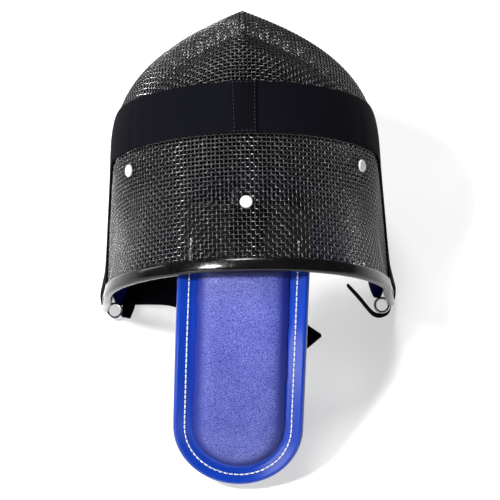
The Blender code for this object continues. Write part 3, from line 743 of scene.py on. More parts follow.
def grow_net(start, rows_before, rows_after, first_row):
    """A net of fan angles, lengths and points; start is the ridge length of the first row laid."""
    rows = rows_before + rows_after + 1
    net = [np.full((rows, NET_WIDTH, *size), np.nan) for size in ((), (), (3,))]
    ridge = start + (np.arange(rows) - rows_before) * PITCH
    net[0][:, 0], net[1][:, 0] = np.interp(ridge, RIDGE_LENGTH, RIDGE_ANGLE), 0.0
    net[2][:, 0] = wall(net[0][:, 0], net[1][:, 0])[0]
    fine = np.linspace(0, LENGTHS[-3], 1500)
    row_angles = first_row(net[0][rows_before, 0], fine)
    run = lengths_along(wall(row_angles, fine)[0])
    reached = np.arange(NET_WIDTH) * PITCH
    laid = reached < run[-1]
    net[0][rows_before] = np.where(laid, np.interp(reached, run, row_angles), np.nan)
    net[1][rows_before] = np.where(laid, np.interp(reached, run, fine), np.nan)
    points = wall(np.nan_to_num(net[0][rows_before]), np.nan_to_num(net[1][rows_before]))[0]
    net[2][rows_before] = np.where(laid[:, None], points, np.nan)
    with np.errstate(all="ignore"):
        for step in range(2, rows + NET_WIDTH):
            away = np.arange(1, step)
            column = step - away
            for side, reach in ((1, rows_after), (-1, rows_before)):
                use = (column < NET_WIDTH) & (away <= reach)
                if use.any():
                    row = rows_before + side * away[use]
                    grow(net, row, column[use], row - side)
    return net


def crown_row(angle, lengths):
    """The first row of the crown lies along its rim."""
    return np.full_like(lengths, angle)


VEE_DROP, VEE_REACH = 1.9, 20 * MM


def face_row(angle, lengths):
    """The first row of the face dips away from the ridge in a shallow vee and then follows the arch."""
    return angle - VEE_DROP * (1 - np.exp(-lengths / VEE_REACH))


FACE_START = 221.0 * MM  # along the ridge from the crown rim
crown_net = grow_net(0.0, *CROWN_ROWS, crown_row)
face_net = grow_net(FACE_START, *FACE_ROWS, face_row)
print("crossings found:", int(np.isfinite(crown_net[0]).sum()), int(np.isfinite(face_net[0]).sum()))


# %% [markdown]
# The crown and the face are two pieces of mesh, and their joint hides under the elastic band. So the crown's
# wires run up to the middle of the band and the face's wires start there, over the top and down both sides.
# All wires end a little inside the edging, which grips them.

# %% The line of the band, where crown and face meet
BAND_FORWARD = 118.5 * MM
BAND_SIDE = (
    # forward (mm), up (mm), half width (mm), lift off the wall (mm)
    (118.5, -56, 19.75, 0.0),
    (116, -84, 19.75, 0.0),
    (97, -113, 19.0, -0.5),
    (66, -139, 15.0, -0.55),
    (44, -155, 12.0, -0.55),
    (28, -166, 9.5, -0.2),
    (18, -174, 8.0, 1.3),
    (12, -178, 7.5, 2.3),
    (7, -182, 7.0, 1.8),
)
END_INSIDE = 1.5 * MM  # wires stop this far inside the rim


def band_line(up):
    """How far forward the middle of the band lies at a height of the side."""
    side = np.array(BAND_SIDE) * MM
    return np.interp(-up, -side[:, 1], side[:, 0])


def inside_rim(angle, point):
    reach = jaw_reach(point)
    lower = reach * np.radians(angle - LOWER_RIM_ANGLE)
    crown = reach * np.radians(CROWN_RIM_ANGLE - angle)
    return (lower > END_INSIDE) & (crown > END_INSIDE) & (reach > corner_reach(angle) + END_INSIDE)


# %% Weaving the wires
CREST = 0.27  # half length of a wire's flat crest over a crossing, as a share of the pitch


def crested(points, lifts):
    """A wire through its crossings: flat on the crest over or under each, and steep between them."""
    way = np.gradient(points, axis=0)
    ends = [points - CREST * way + lifts, points + CREST * way + lifts]
    return np.stack(ends, 1).reshape(-1, 3)


def kept_runs(points, lifts, keep):
    edges = np.flatnonzero(np.diff(np.concatenate([[0], keep.astype(int), [0]])))
    return [crested(points[a:b], lifts[a:b]) for a, b in zip(edges[::2], edges[1::2]) if b - a > 1]


def weave(net, keep):
    """The runs of all wires over the ridge and of all wires along it."""
    angle, length, point = net
    keep = keep & np.isfinite(angle)
    normal = wall_normal(np.nan_to_num(angle), np.nan_to_num(length))
    normal[:, 0] = unit(normal[:, 0] * (0, 1, 1))
    rows, columns = np.indices(angle.shape)
    lift = np.where((rows + columns) % 2, 0.5, -0.5)[..., None] * WIRE * normal
    point, left = np.nan_to_num(point), np.array([-1, 1, 1])
    across_runs, along_runs = [], []
    for row in range(len(angle)):
        across_runs += kept_runs(both_halves(point[row]), both_halves(lift[row]), both_halves(keep[row], 1))
    for column in range(NET_WIDTH):
        runs = kept_runs(point[:, column], -lift[:, column], keep[:, column])
        along_runs += runs
        if column:
            along_runs += [run * left for run in runs]
    return [stand(run) for run in across_runs], [stand(run) for run in along_runs]


def crossing_slack(net, amount):
    """How far each crossing lies behind the line of the band."""
    point = np.nan_to_num(net[2])
    return band_line(point[..., 2]) - point[..., 1] + amount


crown_keep = inside_rim(crown_net[0], crown_net[2]) & (crossing_slack(crown_net, 1 * MM) > 0)
crown_keep[0] = np.isfinite(crown_net[0][0]) & (crown_net[2][0][:, 2] > -JAW_DROP + 20 * MM)
face_keep = inside_rim(face_net[0], face_net[2]) & (crossing_slack(face_net, -1 * MM) < 0)
crown_across, crown_along = weave(crown_net, crown_keep)
face_across, face_along = weave(face_net, face_keep)
for name, runs in (("crown_wires_across", crown_across), ("crown_wires_along", crown_along),
                   ("face_wires_across", face_across), ("face_wires_along", face_along)):
    finish_piece(threads(name, runs, WIRE / 2), ENAMEL, "mesh_wire", name.split("_")[0] + "_mesh")


# %% [markdown]
# ## The rim edging
# The cut wires are sharp, so a channel of glossy plastic is pushed over the whole rim. It could be a curve
# with a bevel, but a curve turns its profile freely, and this channel has to stay square to the wall. So a
# grid is rolled up into the channel's section and led round the rim, where it is joined to itself.

# %% The way round the rim
CROWN_STATIONS, CORNER_STATIONS, LOWER_STATIONS = 64, 12, 56


def corner_angles(count):
    """Fan angles of evenly spaced places round the jaw corner, from the crown rim to the lower rim."""
    turn = np.linspace(math.pi / 2 - CORNER_HALF, CORNER_HALF - math.pi / 2, count + 2)[1:-1]
    across, along = JAW_CORNER_RADIUS * np.sin(turn), CORNER_CENTRE - JAW_CORNER_RADIUS * np.cos(turn)
    return CORNER_ANGLE + np.degrees(np.arctan2(across, along))


def rim_way():
    """Worn points, wall normals and outward directions all round the rim, starting at the top."""
    spots = [(CROWN_RIM_ANGLE, s) for s in np.linspace(0, rim_length(CROWN_RIM_ANGLE), CROWN_STATIONS)]
    spots += [(angle, rim_length(angle)) for angle in corner_angles(CORNER_STATIONS)]
    lower = np.linspace(rim_length(LOWER_RIM_ANGLE), 0, LOWER_STATIONS)
    spots += [(LOWER_RIM_ANGLE, s) for s in lower]
    angle, length = np.array(spots).T
    point, normal = wall(angle, length)[0], wall_normal(angle, length)
    for end in (0, -1):
        normal[end] = unit(normal[end] * (0, 1, 1))
    point, normal = [np.vstack([right, right[-2:0:-1] * (-1, 1, 1)]) for right in (point, normal)]
    tangent = np.roll(point, -1, 0) - np.roll(point, 1, 0)
    outward = unit(np.cross(tangent, normal))
    middle = np.array([0, point[:, 1].mean(), point[:, 2].mean()])
    outward[((point - middle) * outward).sum(1) < 0] *= -1
    return point, normal, outward


# %% Rolling the edging
EDGING_SECTION = np.array([
    # off the wall (mm), out from the rim (mm)
    (-2.45, -7.4), (-1.75, -7.4), (-1.6, -7.2), (-1.6, 0.3),
    (1.6, 0.3), (1.6, -7.2), (1.75, -7.4), (2.45, -7.4),
    (2.8, -7.0), (2.95, -5.0), (3.0, -2.6), (2.9, -0.4), (2.6, 0.8), (2.0, 1.6), (1.1, 2.0), (0.0, 2.1),
    (-1.1, 2.0), (-2.0, 1.6), (-2.6, 0.8), (-2.9, -0.4), (-3.0, -2.6), (-2.95, -5.0), (-2.8, -7.0),
]) * MM


def rim_edging():
    point, normal, outward = rim_way()
    off, out = EDGING_SECTION.T[:, None, :, None]
    places = stand(point[:, None] + normal[:, None] * off + outward[:, None] * out)
    places[..., 2] = np.maximum(places[..., 2], 0)
    piece = laid_grid("edging", places, joined_across=True, joined_along=True)
    finish_piece(piece, PLASTIC, "edging", "rim_edging")


rim_edging()


# %% [markdown]
# ## The elastic band
# The band holds the mask's back to the head. It is a flat strip of ribbed elastic that lies tight on the
# wire over the crown, turns down both sides and narrows to the rings at the jaw corners. Its rows are found
# on the wall itself, so it touches everywhere, and its UV map is in metres along and across the strip.

# %% The way of the band
BAND_WIDTH = 39.5 * MM
BAND_THICKNESS = 1.0 * MM
BAND_LIFT = 1.7 * MM  # from the middle of the wall to the inside of the band
BAND_TOP = 78 * MM  # here the band turns from the crown to the side
TOP_ROWS, SIDE_ROWS = 44, 72
ACROSS = np.linspace(-1, 1, 13)


def band_rows():
    """Right half of the band: fan angles and lengths of its rows, and how far each row is lifted."""
    spots = np.full(len(ACROSS), 60.0), np.full(len(ACROSS), 1 * MM)
    rows = []
    for side in np.linspace(0, BAND_TOP, TOP_ROWS):
        goal = np.column_stack([BAND_FORWARD + ACROSS * BAND_WIDTH / 2, np.full(len(ACROSS), side)])
        spots = find_on_wall(goal, [1, 0], *spots)
        rows.append((*spots, 0.0))
    route = smooth_route(BAND_SIDE, SIDE_ROWS) * MM
    ways = np.gradient(route[:, :2], axis=0)
    for (forward, up, half, lift), way in zip(route, ways):
        out = unit(np.array([-way[1], way[0]]))
        goal = np.array([forward, up]) + ACROSS[:, None] * out * half
        spots = find_on_wall(goal, [1, 2], *spots)
        rows.append((*spots, lift))
    return [np.array(column) for column in zip(*rows)]


def elastic_band():
    angle, length, lift = band_rows()
    point, normal = wall(angle, length)[0], wall_normal(angle, length)
    normal[0] *= (0, 1, 1)
    off = BAND_LIFT + BAND_THICKNESS / 2 + lift[:, None, None]
    middle = point + normal * off
    middle[0, :, 0] = 0
    places = stand(both_halves(middle))
    run = lengths_along(places[:, len(ACROSS) // 2])[-1]
    piece = laid_grid("band", places, size=(run, BAND_WIDTH))
    thicken(piece, BAND_THICKNESS, 0.35 * MM)
    finish_piece(piece, ELASTIC, "elastic", "elastic_band")
    print("band length", round(run * 1000), "mm")


elastic_band()


# %% The stitched overlap of the band
OVERLAP_WIDTH = 18 * MM
OVERLAP_THICKNESS = 1.2 * MM
OVERLAP_SEAM = 1.4 * MM, 1.8 * MM  # how far the seams lie from the band's edges and from the overlap's sides
STITCH = 1.9 * MM
STITCH_GAP = 0.9 * MM
BLUE_THREAD_RADIUS = 0.28 * MM
STITCH_HUMP = (
    # share of the stitch, height (mm)
    (0, -0.45), (0.2, 0.05), (0.5, 0.15), (0.8, 0.05), (1, -0.45),
)


def on_band(side, forward, height):
    """Places above the wall near the ridge, at distances to the side and forward places."""
    side, forward = np.broadcast_arrays(np.asarray(side, float), np.asarray(forward, float))
    goal = np.stack([forward, np.maximum(np.abs(side), 0.01 * MM)], -1)
    angle, length = find_on_wall(goal, [1, 0], np.full(side.shape, 60.0), np.full(side.shape, 5 * MM))
    flip = np.stack([np.where(side < 0, -1.0, 1.0), np.ones_like(side), np.ones_like(side)], -1)
    out = wall_normal(angle, length) * np.asarray(height)[..., None]
    return stand((wall(angle, length)[0] + out) * flip)


def stitch_runs(place, length, height, stitch=STITCH, gap=STITCH_GAP):
    """Short humped runs of thread along a line; place turns lengths and heights into points."""
    count = int(length / (stitch + gap))
    pitch = length / count
    share, hump = np.array(STITCH_HUMP).T
    starts = (k * pitch + (pitch - stitch) / 2 for k in range(count))
    return [place(start + share * stitch, height + hump * MM) for start in starts]


def band_overlap():
    low = BAND_LIFT + BAND_THICKNESS
    side = np.linspace(-0.5, 0.5, 17)[:, None] * OVERLAP_WIDTH
    across = np.linspace(-1, 1, 15)[None, :]
    side, across = np.broadcast_arrays(side, across)
    forward = BAND_FORWARD + across * (BAND_WIDTH / 2 + 0.3 * MM)
    hump = 1 - np.abs(side / OVERLAP_WIDTH * 2) ** 6
    places = on_band(side, forward, low + (0.5 + 0.25 * hump) * OVERLAP_THICKNESS)
    piece = laid_grid("overlap", places, size=(OVERLAP_WIDTH, BAND_WIDTH))
    thicken(piece, OVERLAP_THICKNESS, 0.4 * MM)
    finish_piece(piece, FOLDED_ELASTIC, "elastic", "band_overlap")
    top = low + OVERLAP_THICKNESS * 1.1
    runs = []
    for end in (-1, 1):
        edge = BAND_FORWARD + end * (BAND_WIDTH / 2 - OVERLAP_SEAM[0])
        line = end * (OVERLAP_WIDTH / 2 - OVERLAP_SEAM[1])

        def beside_edge(spots, height):
            return on_band(spots - OVERLAP_WIDTH / 2, edge, height)

        def beside_side(spots, height):
            return on_band(line, BAND_FORWARD - BAND_WIDTH / 2 + spots, height)

        runs += stitch_runs(beside_edge, OVERLAP_WIDTH, top)
        runs += stitch_runs(beside_side, BAND_WIDTH, top)
    finish_piece(threads("overlap_stitches", runs, BLUE_THREAD_RADIUS), BLUE_THREAD, "elastic")


band_overlap()


# %% [markdown]
# ## The tongue
# The tongue presses the mask to the back of the head. It is a spring strip, cased in blue vinyl, with a white
# stitch near the edge and a raised pad in the middle. Its outline is a long tab, rounded at the free end. So
# one function gives the outline at any distance in from the edge, and rings of it, each at its own height,
# make the flange, the channel and the pad's cover. A scaled copy of the outline would not keep the distance.

# %% The tongue's outline and its way down
SWING = math.radians(-3.5)
SWING_CENTRE = 48 * MM  # the centre rivet's place
TONGUE_HALF = 95.5 * MM / 2
TONGUE_CORNER = 0.3 * TONGUE_HALF
TONGUE_ROUTE = (
    # forward (mm), up (mm)
    (50, -17.5), (34, -19), (4, -20.5), (-48, -36), (-97, -64), (-143, -98),
)
tongue_way = smooth_route(TONGUE_ROUTE, 200) * MM
tongue_length = lengths_along(tongue_way)
TONGUE_END = tongue_length[-1]
TONGUE_START = 0.0


def swung(across, forward, up):
    """Worn places, turned as the tongue is about its rivet."""
    forward = forward - SWING_CENTRE
    return np.stack([across * math.cos(SWING) - forward * math.sin(SWING),
                     across * math.sin(SWING) + forward * math.cos(SWING) + SWING_CENTRE, up], -1)


def on_tongue(across, along, height):
    """Scene points from places on the tongue: off its middle, down its length, and out of its back face."""
    across, along, height = np.broadcast_arrays(across, along, height)
    point = np.stack([np.interp(along, tongue_length, tongue_way[:, k]) for k in (0, 1)], -1)
    slope = np.gradient(tongue_way, axis=0)
    way = unit(np.stack([np.interp(along, tongue_length, slope[:, k]) for k in (0, 1)], -1))
    forward = point[..., 0] + way[..., 1] * height
    up = point[..., 1] - way[..., 0] * height
    return stand(swung(across, forward, up))


CORNER_POINTS, STRAIGHT_POINTS, END_POINTS = 10, 70, 32


def tab_outline(inset, half, start, end):
    """A tab's outline as (across, along), moved in by an inset: small round corners, and a half round end."""
    half, start, end = half - inset, start + inset, end - inset
    corner = min(max(TONGUE_CORNER - inset, 1.0 * MM), half)
    turns = np.linspace(0, math.pi / 2, CORNER_POINTS)
    points = [(half - corner + corner * math.sin(t), start + corner - corner * math.cos(t)) for t in turns]
    points += [(half, y) for y in np.linspace(start + corner, end - half, STRAIGHT_POINTS)[1:-1]]
    turns = np.linspace(0, math.pi / 2, END_POINTS)
    points += [(half * math.cos(t), end - half + half * math.sin(t)) for t in turns]
    points = np.array(points)
    return np.vstack([points, points[-2::-1] * (-1, 1)])


def tongue_rows(section, half, start, end):
    """Rings of places on the tongue, from a section of insets and heights."""
    rows = []
    for inset, height in section:
        outline = tab_outline(inset * MM, half, start, end)
        rows.append(on_tongue(outline[:, 0], outline[:, 1], height * MM))
    return np.array(rows)


# %% The flange and the channel
FLANGE_TOP = (
    # in from the edge (mm), height (mm)
    (0.0, 0.0), (0.15, 1.1), (0.6, 2.2), (1.3, 3.0), (2.1, 3.4), (3.0, 3.4), (4.2, 3.0), (6.0, 2.4),
    (7.6, 2.0), (8.3, 1.8), (8.7, 1.65), (9.1, 1.75), (9.8, 1.6), (10.6, 1.2), (12.0, 0.8), (13.6, 0.6),
    (15.5, 0.6), (22.0, 0.6), (34.0, 0.6), (47.7, 0.6),
)
FLANGE_UNDER = ((47.7, -2.2), (34.0, -2.2), (20.0, -2.2), (4.0, -2.2), (1.2, -2.0), (0.3, -1.3))


def tongue_flange():
    rows = tongue_rows(FLANGE_TOP + FLANGE_UNDER, TONGUE_HALF, TONGUE_START, TONGUE_END)
    piece = laid_grid("flange", rows, joined_across=True, joined_along=True)
    finish_piece(piece, FLANGE_VINYL, "blue_vinyl", "tongue_flange")


tongue_flange()


# %% The white stitch
STITCH_INSET = 8.7 * MM
STITCH_START = 24 * MM  # the seam starts this far down the tongue, under the crown
STITCH_HEIGHT = 2.1 * MM
WHITE_THREAD_RADIUS = 0.6 * MM


def tongue_stitches():
    outline = tab_outline(STITCH_INSET, TONGUE_HALF, TONGUE_START + 2 * MM, TONGUE_END)
    outline = outline[outline[:, 1] > STITCH_START]
    run = lengths_along(outline)

    def place(spots, height):
        return on_tongue(np.interp(spots, run, outline[:, 0]), np.interp(spots, run, outline[:, 1]), height)

    runs = stitch_runs(place, run[-1], STITCH_HEIGHT, stitch=2.9 * MM, gap=1.1 * MM)
    finish_piece(threads("flange_stitches", runs, WHITE_THREAD_RADIUS), WHITE_THREAD, "blue_vinyl")


tongue_stitches()


# %% [markdown]
# ## The padded pieces
# The raised pad of the tongue and the two pads beside the jaw are foam in a vinyl cover. A cover that is
# filled pulls tight, swells between its seams and puckers a little beside them. Such a skin is hard to
# draw by hand, so a cloth simulation blows it up for a moment: the cover starts slightly too small, the
# tongue's is pinned along its seam, and no point may travel far. What comes out is kept as a plain mesh.

# %% Blowing up a cover
PUFF_FRAMES = 20


def puff(piece, voxel, pressure, furthest, pinned=None):
    """Fills a closed cover; pinned is a test of its points, furthest is how far a point may travel."""
    remesh = piece.modifiers.new("remesh", "REMESH")
    remesh.mode = "VOXEL"
    remesh.voxel_size = voxel
    remesh.use_smooth_shade = True
    relax = piece.modifiers.new("relax", "SMOOTH")
    relax.factor = 0.5
    relax.iterations = 2
    apply_modifiers(piece)
    start = points_of(piece.data)
    seam = piece.vertex_groups.new(name="seam")
    if pinned:
        seam.add([int(k) for k in np.flatnonzero(pinned(start))], 1.0, "REPLACE")
    cloth = piece.modifiers.new("cover", "CLOTH")
    cloth.settings.quality = 5
    cloth.settings.mass = 0.2
    cloth.settings.use_pressure = True
    cloth.settings.uniform_pressure_force = pressure
    cloth.settings.vertex_group_mass = "seam"
    cloth.settings.effector_weights.gravity = 0
    cloth.collision_settings.use_collision = False
    for step in range(1, PUFF_FRAMES + 1):
        bpy.context.scene.frame_set(step)
    blown = piece.evaluated_get(bpy.context.evaluated_depsgraph_get()).data
    move = points_of(blown) - start
    travel = np.linalg.norm(move, axis=1, keepdims=True)
    piece.modifiers.remove(cloth)
    piece.vertex_groups.clear()
    bpy.context.scene.frame_set(1)
    share = np.minimum(1, furthest / np.maximum(travel, 1e-9))
    piece.data.vertices.foreach_set("co", (start + move * share).ravel())
    print(f"{piece.name} swelled by {travel.mean() / MM:.2f} mm,"
              f" before the cap by {travel.max() / MM:.2f} mm at most")
    calm = piece.modifiers.new("calm", "SMOOTH")
    calm.factor = 0.5
    calm.iterations = 14
    smooth = piece.modifiers.new("smooth", "SUBSURF")
    smooth.levels = 1
    apply_modifiers(piece)
    bpy.ops.object.shade_smooth()


# %% The tongue's pad
PAD_START, PAD_END = 34 * MM, TONGUE_END - 13.5 * MM
PAD_HALF = 36 * MM
PAD_RINGS = (
    # in from the edge (mm), height (mm)
    (0.0, -1.6), (0.0, 0.4), (1.6, 1.5), (3.4, 2.8), (5.2, 4.1), (7.2, 5.4), (9.6, 6.4), (13.0, 7.0),
    (19.0, 7.4), (27.0, 7.5), (35.9, 7.5), (35.9, -1.6), (24.0, -1.6), (12.0, -1.6), (4.0, -1.6),
)
PAD_SHOULDER = (5 * MM, 12 * MM)  # from the edge; over this width the pad's slope turns into its flat top


def mark_top(piece):
    """Stores on the pad's points how far each lies on the flat top, 0 on the slopes and 1 on the top, where
    the painted sheen goes.
    """
    x, y, z = points_of(piece.data).T
    y, z = y - FLOOR_SHIFT, z - FOOT
    forward = math.cos(TILT) * y + math.sin(TILT) * z - SWING_CENTRE
    up = math.cos(TILT) * z - math.sin(TILT) * y - JAW_DROP
    across = math.cos(SWING) * x + math.sin(SWING) * forward
    forward = math.cos(SWING) * forward - math.sin(SWING) * x + SWING_CENTRE
    gaps = np.hypot(forward[:, None] - tongue_way[:, 0], up[:, None] - tongue_way[:, 1])
    along = tongue_length[gaps.argmin(axis=1)]
    past = np.maximum(along - (PAD_END - PAD_HALF), 0)
    inset = PAD_HALF - np.hypot(across, past)
    share = np.clip((inset - PAD_SHOULDER[0]) / (PAD_SHOULDER[1] - PAD_SHOULDER[0]), 0, 1)
    top = piece.data.attributes.new("top", "FLOAT", "POINT")
    top.data.foreach_set("value", (share * share * (3 - 2 * share)).astype(np.float32))


def tongue_pad():
    rows = tongue_rows(PAD_RINGS, PAD_HALF, PAD_START, PAD_END)
    piece = laid_grid("pad", rows, joined_across=True, joined_along=True)
    seam = np.vstack([rows[0], rows[1], rows[-1], rows[-2]])

    def near_seam(points):
        near = np.full(len(points), np.inf)
        for spot in seam[::3]:
            near = np.minimum(near, np.linalg.norm(points - spot, axis=1))
        return near < 3 * MM

    puff(piece, 2.2 * MM, 1.0, 0.5 * MM, near_seam)
    mark_top(piece)
    finish_piece(piece, PAD_VINYL, "blue_vinyl", "tongue_pad")


tongue_pad()


# %% The pads beside the jaw
SIDE_PAD_ANGLES = (-4.0, 66.0)
SIDE_PAD_REACH = 100 * MM  # from the jaw line
SIDE_PAD_CLEAR = 1.5 * MM  # from the rim
SIDE_PAD_THICKNESS = 13 * MM
SIDE_PAD_OFF = 3.3 * MM  # from the middle of the wall
SIDE_PAD_SWELL = 0.8 * MM  # each face of the cover starts this much lower and may travel as far


def side_pad_middle():
    """Places in the middle of the right pad, which follows the wall from its corner inwards."""
    rows = []
    inside = SIDE_PAD_OFF + SIDE_PAD_THICKNESS / 2
    for angle in np.linspace(*SIDE_PAD_ANGLES, 22):
        nearest = math.radians(min(CROWN_RIM_ANGLE - angle, angle - LOWER_RIM_ANGLE))
        start = max(SIDE_PAD_CLEAR / math.sin(nearest), corner_reach(angle) + SIDE_PAD_CLEAR)
        length = length_at_reach(angle, np.linspace(start, SIDE_PAD_REACH, 20))
        angles = np.full(len(length), angle)
        rows.append(wall(angles, length)[0] - wall_normal(angles, length) * inside)
    return np.array(rows)


def side_pads():
    right = laid_grid("jaw_pad_right", stand(side_pad_middle()))
    thicken(right, SIDE_PAD_THICKNESS - 2 * SIDE_PAD_SWELL, 3 * MM)
    puff(right, 4 * MM, 1.5, SIDE_PAD_SWELL)
    left = new_object("jaw_pad_left", right.data.copy())
    left.data.name = left.name
    left.data.transform(Matrix.Scale(-1, 4, (1, 0, 0)))
    left.data.flip_normals()
    for piece, node in ((right, "side_pad_right"), (left, "side_pad_left")):
        finish_piece(piece, SHADED_INNER_VINYL, "blue_vinyl", node)


side_pads()


# %% [markdown]
# ## The metal pieces
# The spring strip is riveted inside the crown and carries the tongue. Three domed rivets show outside: one
# for the spring and two that hold the band. A ring at each jaw corner takes the end of the band. The rivets
# are cylinders with a round bevel, and the rings are plain torus shapes, which is what bent round wire is.

# %% Spring, rivets and rings
SPRING_WIDTH = 22 * MM
SPRING_THICKNESS = 1.0 * MM
SPRING_ROUTE = (
    # forward (mm), up (mm)
    (58, -2.7), (46, -3.0), (37, -7.5), (29, -12.4), (21, -15.3), (9, -15.8),
)
RIVET_RADIUS, RIVET_HEIGHT = 4.6 * MM, 1.8 * MM
RIVET_LIFT = 1.45 * MM
RIVETS = (
    # name, solid, forward (mm), to the right (mm)
    ("rivet_middle", "rivet_centre", 48, 0),
    ("rivet_at_right", "rivet_right", 84, 84),
    ("rivet_at_left", "rivet_left", 84, -84),
)
RING_RADIUS, RING_WIRE = 5.4 * MM, 1.1 * MM
RING_PLACE = (103.6 * MM, 2.4 * MM, 9.5 * MM)
RING_LEAN = math.radians(42)


def spring_strip():
    route = smooth_route(SPRING_ROUTE, 40) * MM
    across = np.linspace(-0.5, 0.5, 5) * SPRING_WIDTH
    rows = [stand(swung(across, forward, np.full(5, up))) for forward, up in route]
    piece = laid_grid("spring", np.array(rows))
    thicken(piece, SPRING_THICKNESS, 0.25 * MM)
    finish_piece(piece, SPRING_STEEL, "steel", "tongue_spring")


def rivet_head(name, node, forward, side):
    goal = np.array([[forward, max(abs(side), 0.01 * MM)]])
    angle, length = find_on_wall(goal, [1, 0], np.array([70.0]), np.array([max(abs(side), 1 * MM) * 1.1]))
    point, normal = wall(angle, length)[0][0], wall_normal(angle, length)[0]
    if abs(side) < 1 * MM:
        normal[0] = 0
    flip = np.array([-1 if side < 0 else 1, 1, 1])
    place = stand((point + normal * (RIVET_LIFT + RIVET_HEIGHT / 2)) * flip)
    out = stand((point + normal) * flip) - stand(point * flip)
    deselect()
    bpy.ops.mesh.primitive_cylinder_add(vertices=48, radius=RIVET_RADIUS, depth=RIVET_HEIGHT)
    head = bpy.context.object
    head.name = head.data.name = name
    dome = head.modifiers.new("dome", "BEVEL")
    dome.width = RIVET_HEIGHT * 0.85
    dome.segments = 6
    dome.limit_method = "ANGLE"
    apply_modifiers(head)
    turn = Vector(out).to_track_quat("Z", "Y").to_matrix().to_4x4()
    head.data.transform(Matrix.Translation(place) @ turn)
    bpy.ops.object.shade_smooth_by_angle(angle=math.radians(40))
    finish_piece(head, RIVET, "rivet", node)


def strap_ring(side, name):
    deselect()
    across, forward, up = RING_PLACE
    bpy.ops.mesh.primitive_torus_add(
        major_radius=RING_RADIUS, minor_radius=RING_WIRE, major_segments=64, minor_segments=16)
    ring = bpy.context.object
    ring.name = ring.data.name = "ring_" + name
    turn = Matrix.Translation((side * across, forward, up)) @ Matrix.Rotation(RING_LEAN, 4, "X")
    ring.data.transform(turn)
    bpy.ops.object.shade_smooth()
    finish_piece(ring, STEEL, "steel", "strap_ring_" + name)


spring_strip()
for name, node, forward, side in RIVETS:
    rivet_head(name, node, forward * MM, side * MM)
strap_ring(1, "right")
strap_ring(-1, "left")


# %% [markdown]
# ## The strap ends and the bib
# The band's loose ends lie about the jaw: a long pointed end across the floor inside the rim, and a short
# one that stands on its edge behind the right ring. The straps are rows laid along their way. The bib, which
# covers the throat when the mask is worn, lies tucked in under the chin. It is a grid cut to the lower rim,
# with low waves, since a thick cloth never lies quite flat, and its hem turns up against the edging.

# %% Strap ends
STRAP_THICKNESS = 1.5 * MM
LONG_END = (
    # across (mm), forward (mm), up (mm), half width (mm)
    (-107, 27, 4.4, 18), (-95, 29.5, 4.2, 19.5), (-76, 30.5, 3.2, 19.5), (-56, 29, 2.2, 19.5),
    (-34, 20, 1.3, 19.5), (-12, 5, 0.6, 19.5), (10, -10, 0.4, 19.5), (28, -19, 0.4, 19.5),
    (37, -22, 0.4, 18.5), (56, -22, 0.4, 0.8),
)
RING_LOOP = (
    # across (mm), forward (mm), up (mm), half width (mm)
    (-95, -5, 6.4, 3.4), (-94, -1, 8.2, 4.2), (-93, 6, 7.0, 4.8), (-92.5, 15, 4.6, 5.2),
)
SHORT_END = (
    # across (mm), forward (mm), height (mm)
    (110.5, 9, 10.5), (110, 3.5, 8.0), (107.5, -1.6, 5.5), (102, -4.2, 4.6),
    (97, -2.4, 4.6), (92.5, 4, 4.6), (86.5, 14.5, 4.6), (78, 28, 3.6),
)
SHORT_END_LIFT = 0.3 * MM  # the standing strap clears the floor by this much


def strap_end(name, node, rows, width):
    piece = laid_grid(name, rows, size=(lengths_along(rows[:, 0])[-1], width))
    thicken(piece, STRAP_THICKNESS, 0.35 * MM)
    finish_piece(piece, ELASTIC, "elastic", node)


def flat_rows(table, count, across=9):
    route = smooth_route(table, count)
    ways = np.gradient(route[:, :2], axis=0)
    out = unit(np.stack([ways[:, 1], -ways[:, 0], np.zeros(count)], -1))
    middle = route[:, :3] + (0, FLOOR_SHIFT / MM, STRAP_THICKNESS / 2 / MM)
    share = np.linspace(-1, 1, across)
    return (middle[:, None] + out[:, None] * share[None, :, None] * route[:, 3, None, None]) * MM


def standing_rows(table, count, up=6):
    route = smooth_route(table, count)
    low = np.column_stack([route[:, 0], route[:, 1] + FLOOR_SHIFT / MM, np.full(count, SHORT_END_LIFT / MM)])
    share = np.linspace(0, 1, up)
    return (low[:, None] + np.array([0, 0, 1.0]) * share[None, :, None] * route[:, 2, None, None]) * MM


strap_end("strap_long", "strap_end_long", flat_rows(LONG_END, 60), 39 * MM)
strap_end("ring_loop", "ring_loop_left", flat_rows(RING_LOOP, 16, 5), 9 * MM)
strap_end("strap_short", "strap_end_short", standing_rows(SHORT_END, 48), 6 * MM)


# %% The bib
BIB_THICKNESS = 1.8 * MM
BIB_LIFT = 0.3 * MM
BIB_INSIDE = 4.2 * MM  # from the middle of the wall to the front edge of the cloth
BIB_REAR = 54.1 * MM  # how far forward the cloth begins
BIB_SHORT_OF_CORNER = 12 * MM
BIB_ROWS, BIB_COLUMNS = 22, 70
BIB_WAVE = 0.15 * MM
BIB_HEM = (3.0, 6.0, 9.0)  # its front edge turns up against the edging, this far from the rim, in mm


def bib_row(rise):
    """A row of the cloth inside the wall, at a distance up from the lower rim."""
    lengths = np.linspace(0, rim_length(LOWER_RIM_ANGLE) - BIB_SHORT_OF_CORNER, BIB_COLUMNS)
    reach = jaw_reach(wall(np.full(len(lengths), LOWER_RIM_ANGLE), lengths)[0])
    angles = LOWER_RIM_ANGLE + np.degrees(rise / reach)
    point, normal = wall(angles, lengths)[0], wall_normal(angles, lengths)
    normal[0] *= (0, 1, 1)
    return stand(both_halves(point - normal * BIB_INSIDE))


